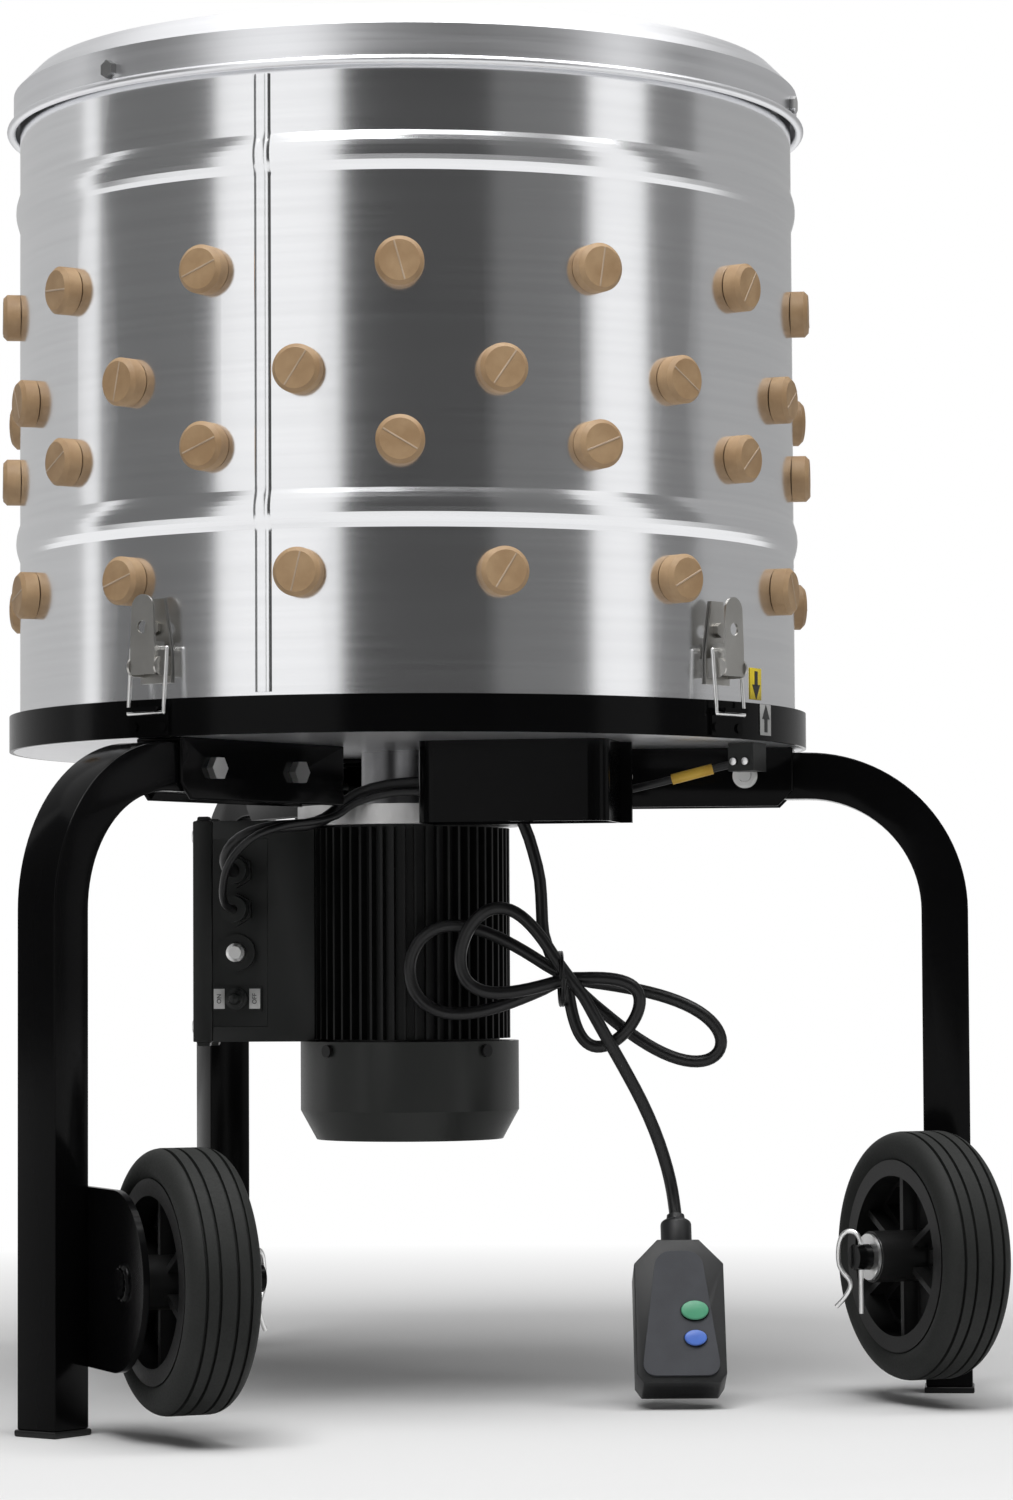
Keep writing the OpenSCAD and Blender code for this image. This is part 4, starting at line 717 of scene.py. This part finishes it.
def makeSwitchWords():
    thick = switchWords["plate"][2] * 1000
    across = sideways(panel["bearing"])
    for word, along in switchWords["words"]:
        middle = onPanel(switchWords["out"] + thick / 2, along, switchWords["height"])
        plate = addBlock(switchWords["plate"], basis(middle, across, upward))
        roundEdges(plate, switchWords["edge"], 2)
        plate = settle(plate, "switchPlate" + word.title())
        finishPiece(plate, material["markPaint"], "machine")
        startFresh()
        bpy.ops.object.text_add()
        words = bpy.context.object
        words.data.body = word
        words.data.size = switchWords["size"]
        words.data.align_x = "CENTER"
        words.data.align_y = "CENTER"
        words.data.extrude = switchWords["inkThick"]
        bpy.ops.object.convert(target="MESH")
        words = bpy.context.object
        place = onPanel(switchWords["out"] + thick + switchWords["inkOut"], along, switchWords["height"])
        words.matrix_world = basis(place, upward, -across)
        words = settle(words, "switchWord" + word.title())
        finishPiece(words, material["markInk"], "machine")


makeSwitchWords()

# Screws of the control box lid
lidScrews = {
    "out": 22, "heights": [10, 134], "face": 139, "radius": 0.0042, "depth": 0.0024,
    "edge": 0.0006, "capShare": 0.384, "rim": 0.0014, "dish": 0.0006,
}


def makeLidScrews():
    screws = []
    capArea = lidScrews["capShare"] * math.pi * lidScrews["radius"] ** 2
    for side in (-1, 1):
        for height in lidScrews["heights"]:
            place = basis(onPanel(side * lidScrews["out"], lidScrews["face"], height),
                          outward(panel["bearing"]), upward)
            disc = addDisc(lidScrews["radius"], lidScrews["depth"], place, 24)
            roundEdges(disc, lidScrews["edge"], 2)
            bpy.ops.object.mode_set(mode="EDIT")
            bpy.ops.mesh.select_all(action="DESELECT")
            bpy.ops.object.mode_set(mode="OBJECT")
            for polygon in disc.data.polygons:
                polygon.select = polygon.area > capArea
            bpy.ops.object.mode_set(mode="EDIT")
            bpy.ops.mesh.inset(thickness=lidScrews["rim"])
            bpy.ops.transform.shrink_fatten(value=-lidScrews["dish"])
            bpy.ops.object.mode_set(mode="OBJECT")
            screws.append(disc)
    finishPiece(joinPieces(screws, "lidScrews"), material["zincPlate"], "machine")


makeLidScrews()

# Screw heads of the safety switch
switchScrews = {
    "bearing": 41, "outs": [0.234, 0.242], "aside": -0.0109, "height": 0.404,
    "radius": 0.0024, "depth": 0.0008, "edge": 0.0003,
}


def makeSwitchScrews():
    heads = []
    bearing = switchScrews["bearing"]
    aside = sideways(bearing) * switchScrews["aside"]
    for out in switchScrews["outs"]:
        place = atBearing(bearing, out, switchScrews["height"]) + aside
        turned = basis(place, outward(bearing), upward)
        head = addDisc(switchScrews["radius"], switchScrews["depth"], turned, 20)
        roundEdges(head, switchScrews["edge"], 2)
        heads.append(head)
    finishPiece(joinPieces(heads, "switchScrews"), material["zincPlate"], "machine")


makeSwitchScrews()

# Lining-up plates on the drum and on the ring, each with its arrow
arrows = [
    {"name": "drumArrow", "bearing": 36.5, "radius": 0.2543, "middle": 0.4520, "size": (0.0155, 0.0200),
     "down": True, "plate": "arrowYellow"},
    {"name": "ringArrow", "bearing": 36.35, "radius": 0.2613, "middle": 0.4290, "size": (0.0150, 0.0195),
     "down": False, "plate": "arrowGrey"},
]
arrowMark = {
    "thick": 0.0005, "inkOut": 0.7, "plateEdge": 0.0002, "inkEdge": 0.0001,
    "shaftWide": 0.26, "shaftTall": 0.46, "shaftBelow": 0.17, "headRadius": 0.40, "headAbove": 0.18,
}


def makeArrow(look):
    thick, edge = arrowMark["thick"], arrowMark["inkEdge"]
    wide, tall = look["size"]
    turn = -1 if look["down"] else 1
    up = upward * turn
    across = sideways(look["bearing"]) * turn
    place = atBearing(look["bearing"], look["radius"], look["middle"])
    plate = addBlock((wide, tall, thick), basis(place, across, up))
    roundEdges(plate, arrowMark["plateEdge"], 2)
    finishPiece(settle(plate, look["name"] + "Plate"), material[look["plate"]], "machine")
    face = place + outward(look["bearing"]) * thick * arrowMark["inkOut"]
    shaftSize = (wide * arrowMark["shaftWide"], tall * arrowMark["shaftTall"], thick)
    shaft = addBlock(shaftSize, basis(face - up * tall * arrowMark["shaftBelow"], across, up))
    headPlace = basis(face + up * tall * arrowMark["headAbove"], across, up)
    head = addDisc(wide * arrowMark["headRadius"], thick, headPlace, 3)
    roundEdges(shaft, edge, 1)
    roundEdges(head, edge, 1)
    finishPiece(joinPieces([shaft, head], look["name"]), material["markInk"], "machine")


for look in arrows:
    makeArrow(look)

# Hitch clips of bent wire, one leg through the axle and one waved past it
axle = {"y": -0.26575, "z": 0.093}
hitchClip = {
    "x": 0.2020, "wire": 0.003, "inward": 0.69, "back": 0.72,
    "shape": [(0, -35), (0, -12), (0, 6), (0.7, 11), (3.5, 15), (8, 16), (12, 13.5), (14.2, 8.5), (15, 2),
              (14.3, -5), (11.5, -10), (8, -14), (7, -18), (9, -22.5), (12.5, -27), (16.5, -31)],
}


def makeHitchClips():
    for side, name in ((-1, "hitchClipLeft"), (1, "hitchClipRight")):
        away = Vector((-side * hitchClip["inward"], hitchClip["back"], 0))
        middle = Vector((side * hitchClip["x"], axle["y"], axle["z"]))
        points = [middle + away * out / 1000 + upward * up / 1000 for out, up in hitchClip["shape"]]
        makeTube(name, smoothRun(points, 5), hitchClip["wire"], "zincPlate", "machine")
    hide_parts("hitch_clips")


makeHitchClips()

# Weld beads where the axles go through their brackets
welds = {"x": 0.2830, "ring": 0.0095, "bead": 0.0022, "waves": 14, "waveShare": 0.10}


def makeWelds():
    rings = []
    for side in (-1, 1):
        startFresh()
        bpy.ops.mesh.primitive_torus_add(major_radius=welds["ring"], minor_radius=welds["bead"],
                                         major_segments=48, minor_segments=10)
        ring = bpy.context.object
        for vertex in ring.data.vertices:
            around = math.atan2(vertex.co.y, vertex.co.x)
            vertex.co.z *= 1 + welds["waveShare"] * math.sin(welds["waves"] * around)
        bpy.ops.object.shade_smooth()
        place = Vector((side * welds["x"], axle["y"], axle["z"]))
        ring.matrix_world = basis(place, Vector((0, 1, 0)), upward)
        rings.append(ring)
    finishPiece(joinPieces(rings, "axleWelds"), material["glossBlack"], "machine")


makeWelds()
print("small fittings made")

# Floor, world, cards and lamps
stageSetup = {
    "floorSize": 14.0, "floorTone": (0.80, 0.80, 0.80), "floorRough": 0.9, "floorSpecular": 0.1,
    "fadeFrom": 0.6, "fadeTo": 1.5, "plainLevel": 0.12,
    "cardRadius": 3.8, "cardHigh": 4.4, "cardColumns": 24,
    "cards": [(-180, -106, 0.52), (-98, -55, 0.16), (-18, 24, 0.07), (24, 53, 0.17), (72, 91, 0.20),
              (91, 166, 0.40)],
    "aim": (0, axisY, 0.45),
    "lamps": [("keyLamp", (-1.35, -1.6, 3.6), 1.5, 42.0), ("sideLamp", (1.7, -1.1, 3.4), 1.4, 26.0),
              ("topLamp", (-0.38, -0.92, 3.4), 2.2, 76.0)],
}


def seenRays(tree):
    # one for what the camera, polished metal and clear pieces see
    rays = tree.nodes.new("ShaderNodeLightPath")
    total = rays.outputs["Is Camera Ray"]
    for kind in ("Is Glossy Ray", "Is Transmission Ray"):
        add = tree.nodes.new("ShaderNodeMath")
        add.operation = "ADD"
        add.use_clamp = True
        tree.links.new(total, add.inputs[0])
        tree.links.new(rays.outputs[kind], add.inputs[1])
        total = add.outputs["Value"]
    return total


def makeFloor(setup):
    startFresh()
    bpy.ops.mesh.primitive_plane_add(size=setup["floorSize"])
    floor = bpy.context.object
    floor.name = "studioFloor"
    paint, tree, shader, place = newMaterial("studioFloorPaint")
    shader.inputs["Base Color"].default_value = (*setup["floorTone"], 1)
    shader.inputs["Roughness"].default_value = setup["floorRough"]
    shader.inputs["Specular IOR Level"].default_value = setup["floorSpecular"]
    distance = tree.nodes.new("ShaderNodeVectorMath")
    distance.operation = "LENGTH"
    tree.links.new(place.outputs["Object"], distance.inputs[0])
    fade = tree.nodes.new("ShaderNodeMapRange")
    fade.inputs["From Min"].default_value = setup["fadeFrom"]
    fade.inputs["From Max"].default_value = setup["fadeTo"]
    tree.links.new(distance.outputs["Value"], fade.inputs["Value"])
    share = tree.nodes.new("ShaderNodeMath")
    share.operation = "MULTIPLY"
    tree.links.new(fade.outputs["Result"], share.inputs[0])
    tree.links.new(seenRays(tree), share.inputs[1])
    white = tree.nodes.new("ShaderNodeEmission")
    blendIn = tree.nodes.new("ShaderNodeMixShader")
    tree.links.new(share.outputs["Value"], blendIn.inputs["Fac"])
    tree.links.new(shader.outputs["BSDF"], blendIn.inputs[1])
    tree.links.new(white.outputs["Emission"], blendIn.inputs[2])
    tree.links.new(blendIn.outputs["Shader"], tree.nodes["Material Output"].inputs["Surface"])
    floor.data.materials.append(paint)


def makeWorld(setup):
    # white behind the object and in its gloss, one plain level for its light
    world = bpy.data.worlds.new("studioWorld")
    scene.world = world
    world.use_nodes = True
    tree = world.node_tree
    level = setup["plainLevel"]
    tone = tree.nodes.new("ShaderNodeMix")
    tone.data_type = "RGBA"
    tone.inputs["A"].default_value = (level, level, level, 1)
    tone.inputs["B"].default_value = (1, 1, 1, 1)
    tree.links.new(seenRays(tree), tone.inputs["Factor"])
    tree.links.new(tone.outputs["Result"], tree.nodes["Background"].inputs["Color"])


def makeCards(setup):
    # grey cards standing round the set, which only the polished surfaces see
    for i, (first, last, level) in enumerate(setup["cards"]):
        startFresh()
        bpy.ops.mesh.primitive_grid_add(x_subdivisions=setup["cardColumns"], y_subdivisions=2, size=1)
        card = bpy.context.object
        card.name = "greyCard" + str(i + 1)
        for vertex in card.data.vertices:
            bearing = math.degrees(viewBearing) + first + (vertex.co.x + 0.5) * (last - first)
            vertex.co = atBearing(bearing, setup["cardRadius"], (vertex.co.y + 0.5) * setup["cardHigh"])
        paint = bpy.data.materials.new("cardGrey" + str(i + 1))
        paint.use_nodes = True
        tree = paint.node_tree
        glow = tree.nodes.new("ShaderNodeEmission")
        glow.inputs["Color"].default_value = (level, level, level, 1)
        tree.links.new(glow.outputs["Emission"], tree.nodes["Material Output"].inputs["Surface"])
        card.data.materials.append(paint)
        card.visible_camera = False
        card.visible_diffuse = False
        card.visible_shadow = False


def makeLamps(setup):
    for name, place, size, power in setup["lamps"]:
        startFresh()
        bpy.ops.object.light_add(type="AREA", location=place)
        lamp = bpy.context.object
        lamp.name = name
        lamp.data.size = size
        lamp.data.energy = power
        toward = Vector(setup["aim"]) - Vector(place)
        lamp.rotation_euler = toward.to_track_quat("-Z", "Y").to_euler()


makeFloor(stageSetup)
makeWorld(stageSetup)
makeCards(stageSetup)
makeLamps(stageSetup)
print("stage set")
